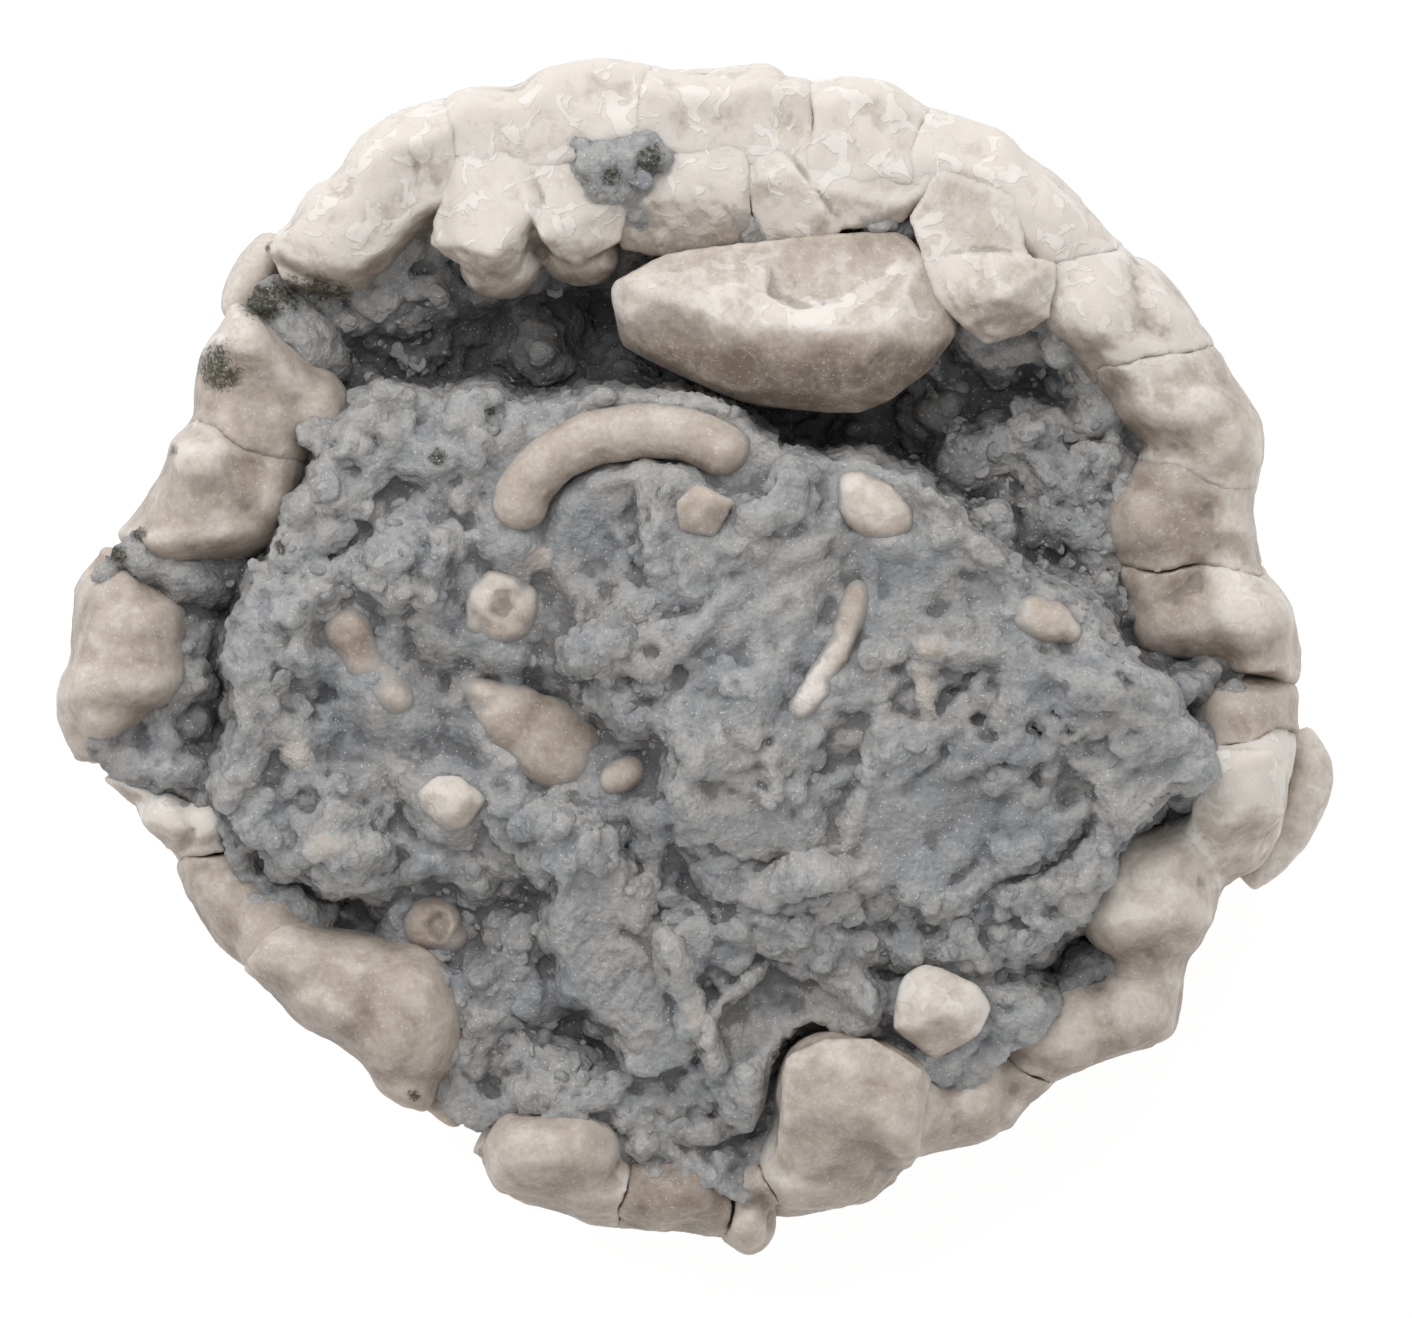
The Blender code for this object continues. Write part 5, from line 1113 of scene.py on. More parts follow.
def make_hash(material):
    """The small bits that crowd the matrix, each sunk into it, as one mesh."""
    draw = np.random.default_rng(31)
    x, y = draw.uniform(-17, 17, (2, HASH_TRIES))
    crowd = np.max([step(within(x, y, outline), -0.8, 0.6) for outline in CROWDED], axis=0)
    bare = np.max([within(x, y, outline) for outline in CALM + [RIBBED, LACE]], axis=0)
    kept = (draw.uniform(size=HASH_TRIES) < 0.07 + 0.7 * crowd) & (bare < 0) & (np.hypot(x, y) < 17)
    ground, shapes = matrix_surface(), bit_shapes()
    points, faces, tones, count = [], [], [], 0
    for px, py in zip(x[kept], y[kept]):
        size, stretch, spin = draw.uniform(), draw.uniform(0.6, 1, 2), draw.uniform(0, 2 * math.pi)
        kind, lean, tone = draw.integers(HASH_SHAPES), draw.normal(0, 0.35, 2), draw.normal(0, 0.22)
        place, normal = probe_ground(ground, px, py)
        if place is None:
            continue
        body, polygons = shapes[kind]
        flake = kind < FLAKE_SHAPES
        radius = (0.24 if flake else 0.14) + (0.4 if flake else 0.3) * size ** 3
        normal = (normal + Vector((lean[0], lean[1], 0.6))).normalized()
        turn = normal.to_track_quat("Z", "Y").to_matrix() @ Matrix.Rotation(spin, 3, "Z")
        body = body * (radius, radius * stretch[0], radius * stretch[1] * 0.8)
        moved = body @ np.array(turn).T + np.array(place) - np.array(normal) * radius * 0.3
        points.append(moved)
        faces += [tuple(count + index for index in polygon) for polygon in polygons]
        tones += [tone] * len(moved)
        count += len(moved)
    mesh = bpy.data.meshes.new("matrix_hash")
    mesh.from_pydata((np.concatenate(points) * MM).tolist(), [], faces)
    piece = bpy.data.objects.new("matrix_hash", mesh)
    bpy.context.scene.collection.objects.link(piece)
    # a little raised everywhere, so the finish paints the bits slightly lighter and keeps painted crease
    # shade off them
    keep_values(mesh, "relief", np.full(count, 0.2))
    keep_values(mesh, "tone", tones)
    settle(piece, material, "grey_matrix")


def keep_buried(mesh, points):
    """Stores how thickly the matrix still coats each point: 1 at the ground, 0 well above it."""
    ground = matrix_surface()
    above = np.full(len(points), 9.0)
    for index, (x, y, z) in enumerate(points):
        place, _ = probe_ground(ground, x, y)
        if place is not None:
            above[index] = z - place.z
    keep_values(mesh, "buried", 1 - step(above, 0.0, 0.6))


# ---- stone plates

PALE_FADE = (7.5, 12.5)  # heights between which the plates turn from a darker brown, low down, to their own tint
VOXEL = 0.175  # fineness of a rim plate's skin, then of the other skins
LOWER_VOXEL = 0.28
DISPLACED_VOXEL = 0.14
BLOCK_VOXEL = 0.12
OSSICLE_VOXEL = 0.11
SUTURE_GAP = -0.13
OPEN_JOINTS = (1, 10, 19, 22, 23)  # plates whose first joint holds matrix instead
SUTURE_WANDER = 0.55  # how far joints wander from straight lines
SOIL = [
    (-15.3, 14.5, 0.5), (-15.3, 12.5, 0.9), (-14.3, 12.9, 0.8), (-13.3, 12.9, 0.9), (-12.4, 12.8, 0.5),
    (-16.9, 10.3, 1), (-16.3, 9.9, 0.6), (-19.6, 4.3, 0.4), (-18.4, 7.3, 0.3), (-9.95, -15.35, 0.3),
    (-1.7, 17.3, 0.7), (-3, 16.8, 0.5), (-9, 7, 0.4), (-7.2, 8.6, 0.3), (11, -15.6, 0.3),
    (-8.9, -16.6, 0.5), (-20.4, 3.6, 0.5), (-14.6, 3.9, 0.3),
]
RIM_BED = 2.3  # how far under a plate's lowest swelling its plain body ends
RIM_BED_OUT = 0.9
RIM_BED_TAPER = 0.86
OPEN_ROOM = 1.3  # how much further that body stays clear of a joint that holds matrix


def smoothed(mesh, points, rounds):
    """Points moved to the average of their neighbours, over and over."""
    pairs = np.empty(len(mesh.edges) * 2, dtype=np.int64)
    mesh.edges.foreach_get("vertices", pairs)
    pairs = pairs.reshape(-1, 2)
    ends = np.concatenate([pairs[:, 0], pairs[:, 1]])
    others = np.concatenate([pairs[:, 1], pairs[:, 0]])
    counts = np.maximum(np.bincount(ends, minlength=len(points)), 1)
    for _ in range(rounds):
        points = np.stack([np.bincount(ends, points[others, axis], len(points)) / counts
                           for axis in range(points.shape[1])], axis=1)
    return points


def keep_relief(mesh):
    """Stores how far each point stands proud of its surroundings: creases are below 0. The finishes turn
    it into painted shade in creases and painted light on raised places.
    """
    points, normals = get_points(mesh), get_normals(mesh)
    near = ((points - smoothed(mesh, points, 6)) * normals).sum(axis=1)
    far = ((points - smoothed(mesh, points, 40)) * normals).sum(axis=1)
    keep_values(mesh, "relief", np.clip(near / 0.05 + far / 0.3, -1.5, 1.5))
    return points


CLEAVAGE = np.array((1.25, 0.35, 0.6))  # steps per millimetre along which calcite splits


def weather(piece, seed, swell=0.16, rough=0.05, flaky=0.0):
    """Roughens a melted plate: soft swellings, fine pitting and thin broken layers."""
    points = get_points(piece.data)
    out = swell * layered(points, 2.4, seed, 2) + rough * layered(points, 0.7, seed + 5, 3)
    out += 0.3 * rough * noise(points, 0.3, seed + 8)
    if flaky:
        level = points @ CLEAVAGE + 0.7 * layered(points, 2.2, seed + 9, 3)
        split = step(layered(points, 1.6, seed + 11, 2), -0.25, 0.25)
        out += flaky * split * (ledged(level) - level + 0.5)
    push_out(piece, out)


def keep_pale(mesh, points, lobes, seed):
    """Stores how pale each point is, blended between the swellings."""
    total = np.zeros(len(points))
    weights = np.full(len(points), 1e-9)
    for lobe in lobes:
        u, v = turned(points[:, 0] - lobe.x, points[:, 1] - lobe.y, lobe.turn)
        weight = np.exp(-1.2 * ((u / lobe.rx) ** 2 + (v / lobe.ry) ** 2))
        total += weight * lobe.pale
        weights += weight
    mean = sum(lobe.pale for lobe in lobes) / len(lobes)
    pale = np.where(weights > 1e-6, total / weights, mean)
    pale += 0.14 * layered(points, 2.2, seed, 2)
    # darker towards the bottom, between the PALE_FADE heights
    pale *= 0.5 + 0.5 * step(points[:, 2], *PALE_FADE)
    keep_pale_with_painted_shade(mesh, pale)


def keep_pale_with_painted_shade(mesh, pale):
    """Stores paleness, drawn down to brown on the sides that face down and towards the bottom of the
    cup's face, away from the lamp: painted shade, partly the plates' own brown staining.
    """
    normals = get_normals(mesh)
    # painted shade: how far each side faces away from the lamp, down and towards the bottom of the face
    away = step(-normals[:, 1] * 0.85 - normals[:, 2] * 0.3, -0.1, 0.75)
    keep_values(mesh, "pale", np.clip(pale * (1 - 0.7 * away), 0, 1))


def keep_soil(mesh, points):
    """Stores where dark grains of soil cling."""
    soil = np.zeros(len(points))
    for x, y, radius in SOIL:
        away = np.hypot(points[:, 0] - x, points[:, 1] - y)
        away += 0.4 * radius * layered(points, 0.8, 68, 3)
        soil = np.maximum(soil, 1 - step(away, 0.3 * radius, 1.2 * radius))
    keep_values(mesh, "soil", soil * step(points[:, 2], 12.2, 13.6))


def suture_room(suture, after, foot):
    """The room between two joints, with gently wandering walls, as a body to cut a plate to."""
    starts = [Vector(joint[:2]) for joint in (suture, after)]
    ends = [Vector(joint[2:]) for joint in (suture, after)]
    ways = [(end - start).normalized() for start, end in zip(starts, ends)]
    across = ways[0].x * ways[1].y - ways[0].y * ways[1].x
    inward = 3.5
    if abs(across) > 0.01:
        apart = starts[1] - starts[0]
        meet = [-(apart.x * way.y - apart.y * way.x) / across for way in (ways[1], ways[0])]
        if min(meet) > 0:
            inward = min(inward, 0.8 * min(meet))
    corners = []
    for start, end, way in zip(starts, ends, ways):
        corners += [start - way * inward, end + way * 6]
    middle = sum(corners, Vector((0, 0))) / 4
    piece = start_piece("room")
    corners = [corner + (middle - corner).normalized() * SUTURE_GAP for corner in corners]
    add_hull([(corner.x, corner.y, height) for corner in corners for height in (foot, 30)])
    bpy.ops.mesh.select_all(action="SELECT")
    bpy.ops.mesh.subdivide(number_cuts=15)
    leave_edit()
    points = get_points(piece.data)
    wander = np.stack([layered(points, 2.6, 60 + axis, 2) for axis in (0, 1)], axis=1)
    points[:, :2] += SUTURE_WANDER * wander
    set_points(piece.data, points)
    return piece


def rim_bed(joints, lobes):
    """Corners of the plain thick body of a rim plate, between its two joints."""
    middle = sum((Vector((lobe.x, lobe.y)) for lobe in lobes), Vector((0, 0))) / len(lobes)
    corners = []
    for number, joint in joints:
        inner, outer = Vector(joint[:2]), Vector(joint[2:])
        outer -= (outer - inner).normalized() * RIM_BED_OUT
        if number in OPEN_JOINTS:
            outer += (middle - outer).normalized() * OPEN_ROOM
        corners += [inner, outer]
    corners += [Vector((lobe.x, lobe.y)) for lobe in lobes]
    top = min(lobe.top for lobe in lobes) - RIM_BED
    return [(corner.x * share, corner.y * share, height)
            for corner in corners for share, height in ((RIM_BED_TAPER, 3.5), (1.0, top))]


def fit_outline(plates):
    """Draws the rim's outer side in or out until it follows the cup's outline."""
    bins, turn = 720, 2 * math.pi
    far = np.zeros(bins)
    for piece in plates:
        x, y, _ = get_points(piece.data).T
        index = ((np.arctan2(y, x) / turn + 1) * bins).astype(int) % bins
        np.maximum.at(far, index, np.hypot(x, y))
    bearing = (np.arange(bins) + 0.5) / bins * turn
    share = np.clip(outline_reach(bearing) / np.maximum(far, 1), 0.93, 1.08)
    share = np.convolve(np.tile(share, 3), np.ones(5) / 5, mode="same")[bins:2 * bins]
    for piece in plates:
        points = get_points(piece.data)
        x, y, _ = points.T
        here, limit = (np.interp(np.arctan2(y, x) % turn, bearing, known, period=turn)
                       for known in (share, far))
        scale = 1 + (here - 1) * step(np.hypot(x, y) / limit, 0.72, 0.96)
        points[:, :2] *= scale[:, None]
        set_points(piece.data, points)


def meeting_pairs(lobes, others):
    """The swellings of two plates that meet at their joint, and at least the closest two."""
    pairs = sorted(((a, b) for a in lobes for b in others),
                   key=lambda pair: math.hypot(pair[0].x - pair[1].x, pair[0].y - pair[1].y))
    return [pairs[0]] + [(a, b) for a, b in pairs[1:] if abs(a.top - b.top) < 1.5 and
                         2 * math.hypot(a.x - b.x, a.y - b.y) < a.rx + a.ry + b.rx + b.ry]


def add_bridge(pair, depth, fill):
    """Fills the groove between two swellings, up to a share of their size."""
    add_hull([point for lobe in pair for point in swelling_points(lobe, depth, fill)])


def add_bridges(lobes, depth, fill):
    """Fills the grooves between all the swellings of a piece that touch."""
    for a, b in combinations(lobes, 2):
        if math.hypot(a.x - b.x, a.y - b.y) < max(a.rx, a.ry) + max(b.rx, b.ry):
            add_bridge((a, b), depth, fill)


def break_flutes(piece):
    """Breaks up the long upright lobes of a rim plate's outer side."""
    points = get_points(piece.data)
    push_out(piece, 0.45 * layered(points, 3.2, 110, 2) * step(-points[:, 2], -13.0, -10.5))


def make_rim(material):
    """The 24 plates round the broken rim, each melted from its swellings and cut at its joints."""
    plates = []
    for number, (suture, lobes, fill) in enumerate(RIM, 1):
        before, after = RIM[number - 2], RIM[number % len(RIM)]
        following = number % len(RIM) + 1
        piece = start_piece(f"rim_plate_skin_{number:02d}")
        add_hull(rim_bed(((number, suture), (following, after[0])), lobes))
        for lobe in lobes:
            add_swelling(lobe, RIM_DEPTH)
        add_bridges(lobes, RIM_DEPTH, fill)
        if number in RIM_BLOCKS:
            add_hull(RIM_BLOCKS[number])
        for neighbour, joint in ((before, number), (after, following)):
            if joint in OPEN_JOINTS:
                continue
            share = min(fill, neighbour[2])
            for pair in meeting_pairs(lobes, neighbour[1]):
                add_bridge(pair, RIM_DEPTH, share)
        melt(piece, VOXEL, 5)
        for face in RIM_FACES.get(number, ()):
            chip_off(piece, face)
        foot = RIM_FOOT + RIM_FOOT_TILT * lobes[0].y - 1.0
        break_flutes(piece)
        cut(piece, suture_room(suture, after[0], foot), "INTERSECT")
        if number in PATCH_PLATES:
            carve(piece, PATCH_BOWL)
        melt(piece, VOXEL, 3)
        weather(piece, 100, flaky=0.05 * float(step(lobes[0].pale, 0.5, 0.9)))
        plates.append(piece)
    fit_outline(plates)
    for number, (piece, (_, lobes, _)) in enumerate(zip(plates, RIM), 1):
        points = keep_relief(piece.data)
        keep_soil(piece.data, points)
        keep_pale(piece.data, points, lobes, 400)
        settle(piece, material, "calcite_plate", f"rim_plate_{number:02d}")


def make_lower(material):
    """The circlet under the rim and the fused plates round the stem."""
    nodes = sorted(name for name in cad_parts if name.startswith("lower_plate"))
    for number, node in enumerate(nodes + ["base_plate"]):
        piece = start_copy(f"{node}_skin", node)
        melt(piece, LOWER_VOXEL, 5)
        points = get_points(piece.data)
        bulge = 0.22 * layered(points, 3.0, 700 + number, 2) + 0.06 * layered(points, 0.9, 720, 2)
        push_out(piece, bulge * step(points[:, 2], 0.1, 1.2))
        points = keep_relief(piece.data)
        keep_values(piece.data, "pale", 0.45 + 0.25 * layered(points, 3.0, 740, 2))
        settle(piece, material, "calcite_plate", node)


def make_displaced(material):
    """The big plate that slipped into the cup, with its broken faces."""
    piece = start_piece("displaced_plate_skin")
    add_hull([point for lobe in DISPLACED
              for point in swelling_points(lobe, DISPLACED_DEPTH, 1.0, 2.1)] + DISPLACED_CORNERS)
    melt(piece, DISPLACED_VOXEL, 6)
    for face in DISPLACED_FACES:
        chip_off(piece, face)
    carve(piece, DISPLACED_HOLLOW)
    melt(piece, DISPLACED_VOXEL, 2)
    weather(piece, 810, swell=0.08, rough=0.035, flaky=0.03)
    points = keep_relief(piece.data)
    x, y, z = points.T
    # Pale on the top and along the front ridge, brown low on the front bulge: partly the plate's own
    # brown, partly painted shade where the bulge faces down, away from the lamp
    pale = -0.12 + 0.82 * (step(z, 15.6, 18.2) * step(y, 9.9, 12.0)) + 0.14 * layered(points, 1.8, 820, 2)
    ridge = np.abs((y - 12.0) - 0.7 * np.maximum(x - 4.8, 0)) + 0.35 * layered(points, 0.9, 825, 2)
    pale += 0.45 * (step(-ridge, -0.4, -0.25) * step(x, 2.2, 2.5) * step(-x, -7.2, -6.6))
    keep_pale_with_painted_shade(piece.data, pale)
    settle(piece, material, "broken_calcite", "displaced_plate")


def finish_piece(piece, name, material, slot, pale, seed, flaky):
    """Weathers a melted piece and gives it its values and finish."""
    weather(piece, seed, swell=0.08, rough=0.035, flaky=flaky)
    points = keep_relief(piece.data)
    keep_buried(piece.data, points)
    if isinstance(pale, list):
        keep_pale(piece.data, points, pale, seed)
    else:
        if slot == "broken_calcite":
            pale = pale * (0.5 + 0.5 * step(points[:, 2], 15.0, 16.4))
        pale = pale + 0.16 * layered(points, 1.5, seed, 2)
        keep_pale_with_painted_shade(piece.data, pale)
    settle(piece, material, slot, name)


def make_blocks(material, slot, names):
    """Angular pieces, each melted from its corners and standing for the solid of its name."""
    for name in names:
        piece = start_piece(f"{name}_skin")
        for corners in BLOCKS[name]:
            add_hull(corners)
        for lobe in BLOCK_LOBES.get(name, ()):
            add_swelling(lobe, BLOCK_LOBE_DEPTH, 2.1)
        melt(piece, BLOCK_VOXEL, BLOCK_SMOOTHING.get(name, 5))
        if name in PATCH_BLOCKS:
            carve(piece, PATCH_BOWL)
            melt(piece, BLOCK_VOXEL, 2)
        seed = 900 + 10 * list(BLOCKS).index(name)
        finish_piece(piece, name, material, slot, BLOCK_PALE[name], seed,
                     0.06 if slot == "broken_calcite" else 0)


def make_ossicles(material):
    """Rounded ossicles, each melted from its swellings and standing for the solid of its name."""
    for number, (name, (depth, lobes)) in enumerate(OSSICLES.items()):
        piece = start_piece(f"{name}_skin")
        for lobe in lobes:
            add_swelling(lobe, depth, 2.2)
        add_bridges(lobes, depth, 0.9)
        melt(piece, OSSICLE_VOXEL, 2)
        if name in PITS:
            x, y, radius, deep = PITS[name]
            points = get_points(piece.data)
            away = np.hypot(points[:, 0] - x, points[:, 1] - y) + 0.3 * layered(points, 0.6, 66, 2)
            upper = points[:, 2] > lobes[0].top - depth
            points[:, 2] -= deep * step(-away, -radius, -0.2 * radius) * upper
            set_points(piece.data, points)
        finish_piece(piece, name, material, "calcite_plate", lobes, 1000 + 10 * number, 0)


def crescent_height(x):
    return CRESCENT_HEIGHT + CRESCENT_RISE * (x + 2.5)


def make_crescent(material):
    """The curved ossicle on the mound."""
    piece = start_piece("crescent_ossicle_skin")
    path = smooth_path(CRESCENT_PATH, 60)
    run = np.linspace(0, 1, len(path))
    from_end = np.minimum(run, 1 - run) * 11 + 0.01
    radii = CRESCENT_RADIUS * np.sqrt(1 - np.clip(1 - from_end, 0, 1) ** 2)
    tube([(x, y, crescent_height(x)) for x, y in path], radii)
    melt(piece, BLOCK_VOXEL, 3)
    weather(piece, 830, swell=0.08, rough=0.03)
    points = keep_relief(piece.data)
    keep_buried(piece.data, points)
    pale = 0.46 + 0.2 * layered(points, 1.6, 840, 2)
    keep_pale_with_painted_shade(piece.data, pale)
    settle(piece, material, "calcite_plate", "crescent_ossicle")


def make_outer(material):
    """The arm piece and the splinter pressed against the outside of the rim."""
    arm = start_piece("arm_fragment_skin")
    path = smooth_path(ARM_PATH, 30)
    run = np.linspace(0, len(ARM_TAPER) - 1, len(path))
    radii = ARM_RADIUS * np.interp(run, range(len(ARM_TAPER)), ARM_TAPER)
    heights = ARM_HEIGHT - 0.1 * run
    tube([(x, y, z) for (x, y), z in zip(path, heights)], radii)
    melt(arm, BLOCK_VOXEL, 3)
    weather(arm, 850, swell=0.12)
    points = keep_relief(arm.data)
    keep_values(arm.data, "pale", 0.72 + 0.2 * layered(points, 1.6, 860, 2))
    settle(arm, material, "calcite_plate", "arm_fragment")

    splinter = start_piece("rim_splinter_skin")
    add_swelling(SPLINTER, SPLINTER_DEPTH)
    melt(splinter, BLOCK_VOXEL, 3)
    weather(splinter, 870, swell=0.1, rough=0.04)
    points = keep_relief(splinter.data)
    keep_values(splinter.data, "pale", np.full(len(points), SPLINTER.pale))
    settle(splinter, material, "calcite_plate", "rim_splinter")


# ---- finishes

GLINT_SCALE = 12000.0  # crystal faces to a metre
SOIL_SCALE = 6000.0  # grains to a metre


def put(tree, kind, inputs=(), **settings):
    """Adds a shader node, sets it and joins what feeds it."""
    made = tree.nodes.new("ShaderNode" + kind)
    for setting, value in settings.items():
        setattr(made, setting, value)
    for name, value in dict(inputs).items():
        if isinstance(value, bpy.types.NodeSocket):
            tree.links.new(value, made.inputs[name])
        else:
            made.inputs[name].default_value = value
    return made


def set_inputs(inputs, values):
    for name, value in values.items():
        inputs[name].default_value = value


def math_node(tree, operation, first, second=0.0):
    return put(tree, "Math", {0: first, 1: second}, operation=operation).outputs[0]


def plus(tree, first, second):
    return math_node(tree, "ADD", first, second)


def times(tree, first, second):
    return math_node(tree, "MULTIPLY", first, second)


def blend(tree, share, first, second):
    """Mixes two colours by a share."""
    made = put(tree, "Mix", {0: share}, data_type="RGBA")
    for index, value in ((6, first), (7, second)):
        if isinstance(value, bpy.types.NodeSocket):
            tree.links.new(value, made.inputs[index])
        else:
            made.inputs[index].default_value = (*value[:3], 1)
    return made.outputs[2]


def span(tree, value, low, high, to_low=0.0, to_high=1.0, kind="LINEAR"):
    """Maps a stretch of values to another, held at its ends."""
    return put(tree, "MapRange", {"Value": value, "From Min": low, "From Max": high, "To Min": to_low,
                                  "To Max": to_high}, interpolation_type=kind).outputs[0]


def stored(tree, name):
    """A value stored on the piece's points."""
    return put(tree, "Attribute", attribute_name=name).outputs["Fac"]


def texture(tree, kind, scale, **inputs):
    """A texture on the piece's own coordinates."""
    place = put(tree, "TexCoord").outputs["Object"]
    return put(tree, "Tex" + kind, {"Vector": place, "Scale": scale, **inputs}).outputs


def speckle(tree, size, detail=3.0, roughness=0.55, distortion=0.0):
    """Noise with bumps about size millimetres wide."""
    return texture(tree, "Noise", 1 / (size * MM), Detail=detail, Roughness=roughness,
                   Distortion=distortion)["Fac"]


def new_group(name, inputs, outputs):
    """An empty node group with these numbers going in and out."""
    group = bpy.data.node_groups.new(name, "ShaderNodeTree")
    for way, titles in (("INPUT", inputs), ("OUTPUT", outputs)):
        for title in titles:
            group.interface.new_socket(title, in_out=way, socket_type="NodeSocketFloat")
    return group, group.nodes.new("NodeGroupInput").outputs, group.nodes.new("NodeGroupOutput").inputs


def soil_group(name):
    """Grains of dark soil, thick where the stored soil is high."""
    group, _, result = new_group(name, [], ["Mask"])
    soil = stored(group, "soil")
    grain = texture(group, "Noise", SOIL_SCALE, Detail=4.0, Roughness=0.75)["Fac"]
    level = plus(group, times(group, soil, 0.3), grain)
    grains = times(group, span(group, level, 0.6, 0.8, 0.0, 0.95), span(group, soil, 0.0, 0.3))
    mask = math_node(group, "MAXIMUM", grains, span(group, soil, 0.2, 1.0, 0.0, 0.55))
    group.links.new(mask, result["Mask"])
    return group


def glints_group(name):
    """Tiny crystal faces, here and there: their mask paints glints of light into the colour as painted
    highlights, and smooths the roughness.
    """
    group, given, result = new_group(name, ["Amount"], ["Mask"])
    cells = texture(group, "Voronoi", GLINT_SCALE)
    split = put(group, "SeparateColor", {"Color": cells["Color"]}).outputs[0]
    limit = math_node(group, "SUBTRACT", 1.0, given["Amount"])
    chosen = math_node(group, "GREATER_THAN", split, limit)
    core = span(group, cells["Distance"], 0.42, 0.25)
    group.links.new(times(group, chosen, core), result["Mask"])
    return group


def grain_group(name):
    """Fine stone grain: a value for tints and a height for bumps, from coarse to fine."""
    group, given, result = new_group(name, ["Coarse", "Fine"], ["Value", "Height"])
    coarse = texture(group, "Noise", given["Coarse"], Detail=4.0, Roughness=0.6)["Fac"]
    fine = times(group, texture(group, "Noise", given["Fine"], Detail=2.0, Roughness=0.6)["Fac"], 0.4)
    group.links.new(times(group, plus(group, coarse, fine), 0.714), result["Height"])
    group.links.new(plus(group, times(group, coarse, 0.6), fine), result["Value"])
    return group


def crevice_shade_group(name):
    """How much painted shade a crease takes: from the stored relief, broken up by noise."""
    group, given, result = new_group(name, ["Reach"], ["Mask"])
    patchy = span(group, speckle(group, 0.5, 4.0), 0.3, 0.7, -0.25, 0.25)
    depth = times(group, plus(group, stored(group, "relief"), patchy), -1.0)
    mask = span(group, depth, 0.3, given["Reach"], kind="SMOOTHSTEP")
    group.links.new(mask, result["Mask"])
    return group


GROUPS = {"soil_grains": soil_group, "crystal_glints": glints_group, "stone_grain": grain_group,
          "crevice_dirt": crevice_shade_group}


def use_group(tree, name, **inputs):
    """Adds a shared node group, made when it is first used."""
    made = tree.nodes.new("ShaderNodeGroup")
    made.node_tree = bpy.data.node_groups.get(name) or GROUPS[name](name)
    set_inputs(made.inputs, inputs)
    return made.outputs


def stone_parts(tree, coarse, fine, amount, reach):
    """What both stones share: their grain, crystal glints painted as highlights, painted shade in creases
    and soil.
    """
    return (use_group(tree, "stone_grain", Coarse=coarse, Fine=fine),
            use_group(tree, "crystal_glints", Amount=amount)["Mask"],
            use_group(tree, "crevice_dirt", Reach=reach)["Mask"],
            use_group(tree, "soil_grains")["Mask"])


def start_material(name):
    material = bpy.data.materials.new(name)
    material.use_nodes = True
    tree = material.node_tree
    tree.nodes.clear()
    output = tree.nodes.new("ShaderNodeOutputMaterial")
    shader = tree.nodes.new("ShaderNodeBsdfPrincipled")
    tree.links.new(shader.outputs[0], output.inputs["Surface"])
    return material, tree, shader.inputs


def lay_over(tree, colour, *layers):
    """Lays tints over a colour, each by its share."""
    for share, tint in layers:
        colour = blend(tree, share, colour, tint)
    return colour


def finish_stone(tree, shader, colour, rough, height, strength, distance):
    """Joins a stone's colour, roughness and bumps to its shader."""
    tree.links.new(colour, shader["Base Color"])
    tree.links.new(rough, shader["Roughness"])
    bump = put(tree, "Bump", {"Strength": strength, "Distance": distance, "Height": height})
    tree.links.new(bump.outputs[0], shader["Normal"])


def calcite_material(name, looks, frost):
    """Weathered calcite: brown to near white by the stored paleness, which carries painted shade on
    down-facing sides; frosted and grained, with painted shade in creases, painted light on raised places
    and painted glints.
    """
    material, tree, shader = start_material(name)
    grain, glints, crevice, soil = stone_parts(tree, 900.0, 5000.0, 0.06, 1.1)
    pale = stored(tree, "pale")
    cloud = span(tree, speckle(tree, 1.6, 5.0, 0.65, 0.4), 0.3, 0.7, -0.15, 0.2)
    fine = span(tree, grain["Value"], 0.35, 0.65, -0.13, 0.13)
    # painted light: raised places are drawn paler
    edge = span(tree, stored(tree, "relief"), 0.1, 1.2, 0.0, 0.22)
    ramp = tree.nodes.new("ShaderNodeValToRGB")
    tree.links.new(plus(tree, plus(tree, pale, cloud), plus(tree, fine, edge)), ramp.inputs[0])
    stops = ramp.color_ramp.elements
    stops[0].color, stops[1].color = (*looks.calcite_brown, 1), (*looks.calcite_white, 1)
    for position, colour in ((0.35, looks.calcite_beige), (0.65, looks.calcite_cream)):
        stops.new(position).color = (*colour, 1)
    flakes = times(tree, span(tree, speckle(tree, 1.1, 3.0, 0.5, 1.0), 0.555, 0.58),
                   span(tree, pale, 0.5, 0.9))
    patchy = span(tree, speckle(tree, 0.6, 4.0, 0.65), 0.3, 0.7, -0.3, 0.3)
    colour = lay_over(
        tree, ramp.outputs["Color"],
        (span(tree, speckle(tree, 0.22, 3.0, 0.7), 0.52, 0.72, 0.0, frost), looks.calcite_white),
        (times(tree, flakes, 0.6), looks.flake_white),
        # painted shade darkens the creases of the plates
        (times(tree, crevice, 0.5), looks.crevice),
        (soil, looks.soil),
        (span(tree, plus(tree, stored(tree, "buried"), patchy), 0.35, 0.95, 0.0, 0.85),
         looks.matrix_warm),
        # painted highlights: crystal glints painted near white
        (times(tree, glints, 0.4), (0.9, 0.9, 0.88)))
    rough = plus(tree, span(tree, grain["Value"], 0.3, 0.7, 0.5, 0.68), times(tree, glints, -0.3))
    height = plus(tree, grain["Height"], times(tree, flakes, 0.5))
    finish_stone(tree, shader, colour, rough, height, 0.6, 0.00012)
    set_inputs(shader, {"Subsurface Weight": 0.25, "Subsurface Radius": (1.0, 0.75, 0.55),
                        "Subsurface Scale": 0.0008, "Specular IOR Level": 0.4})
    return material


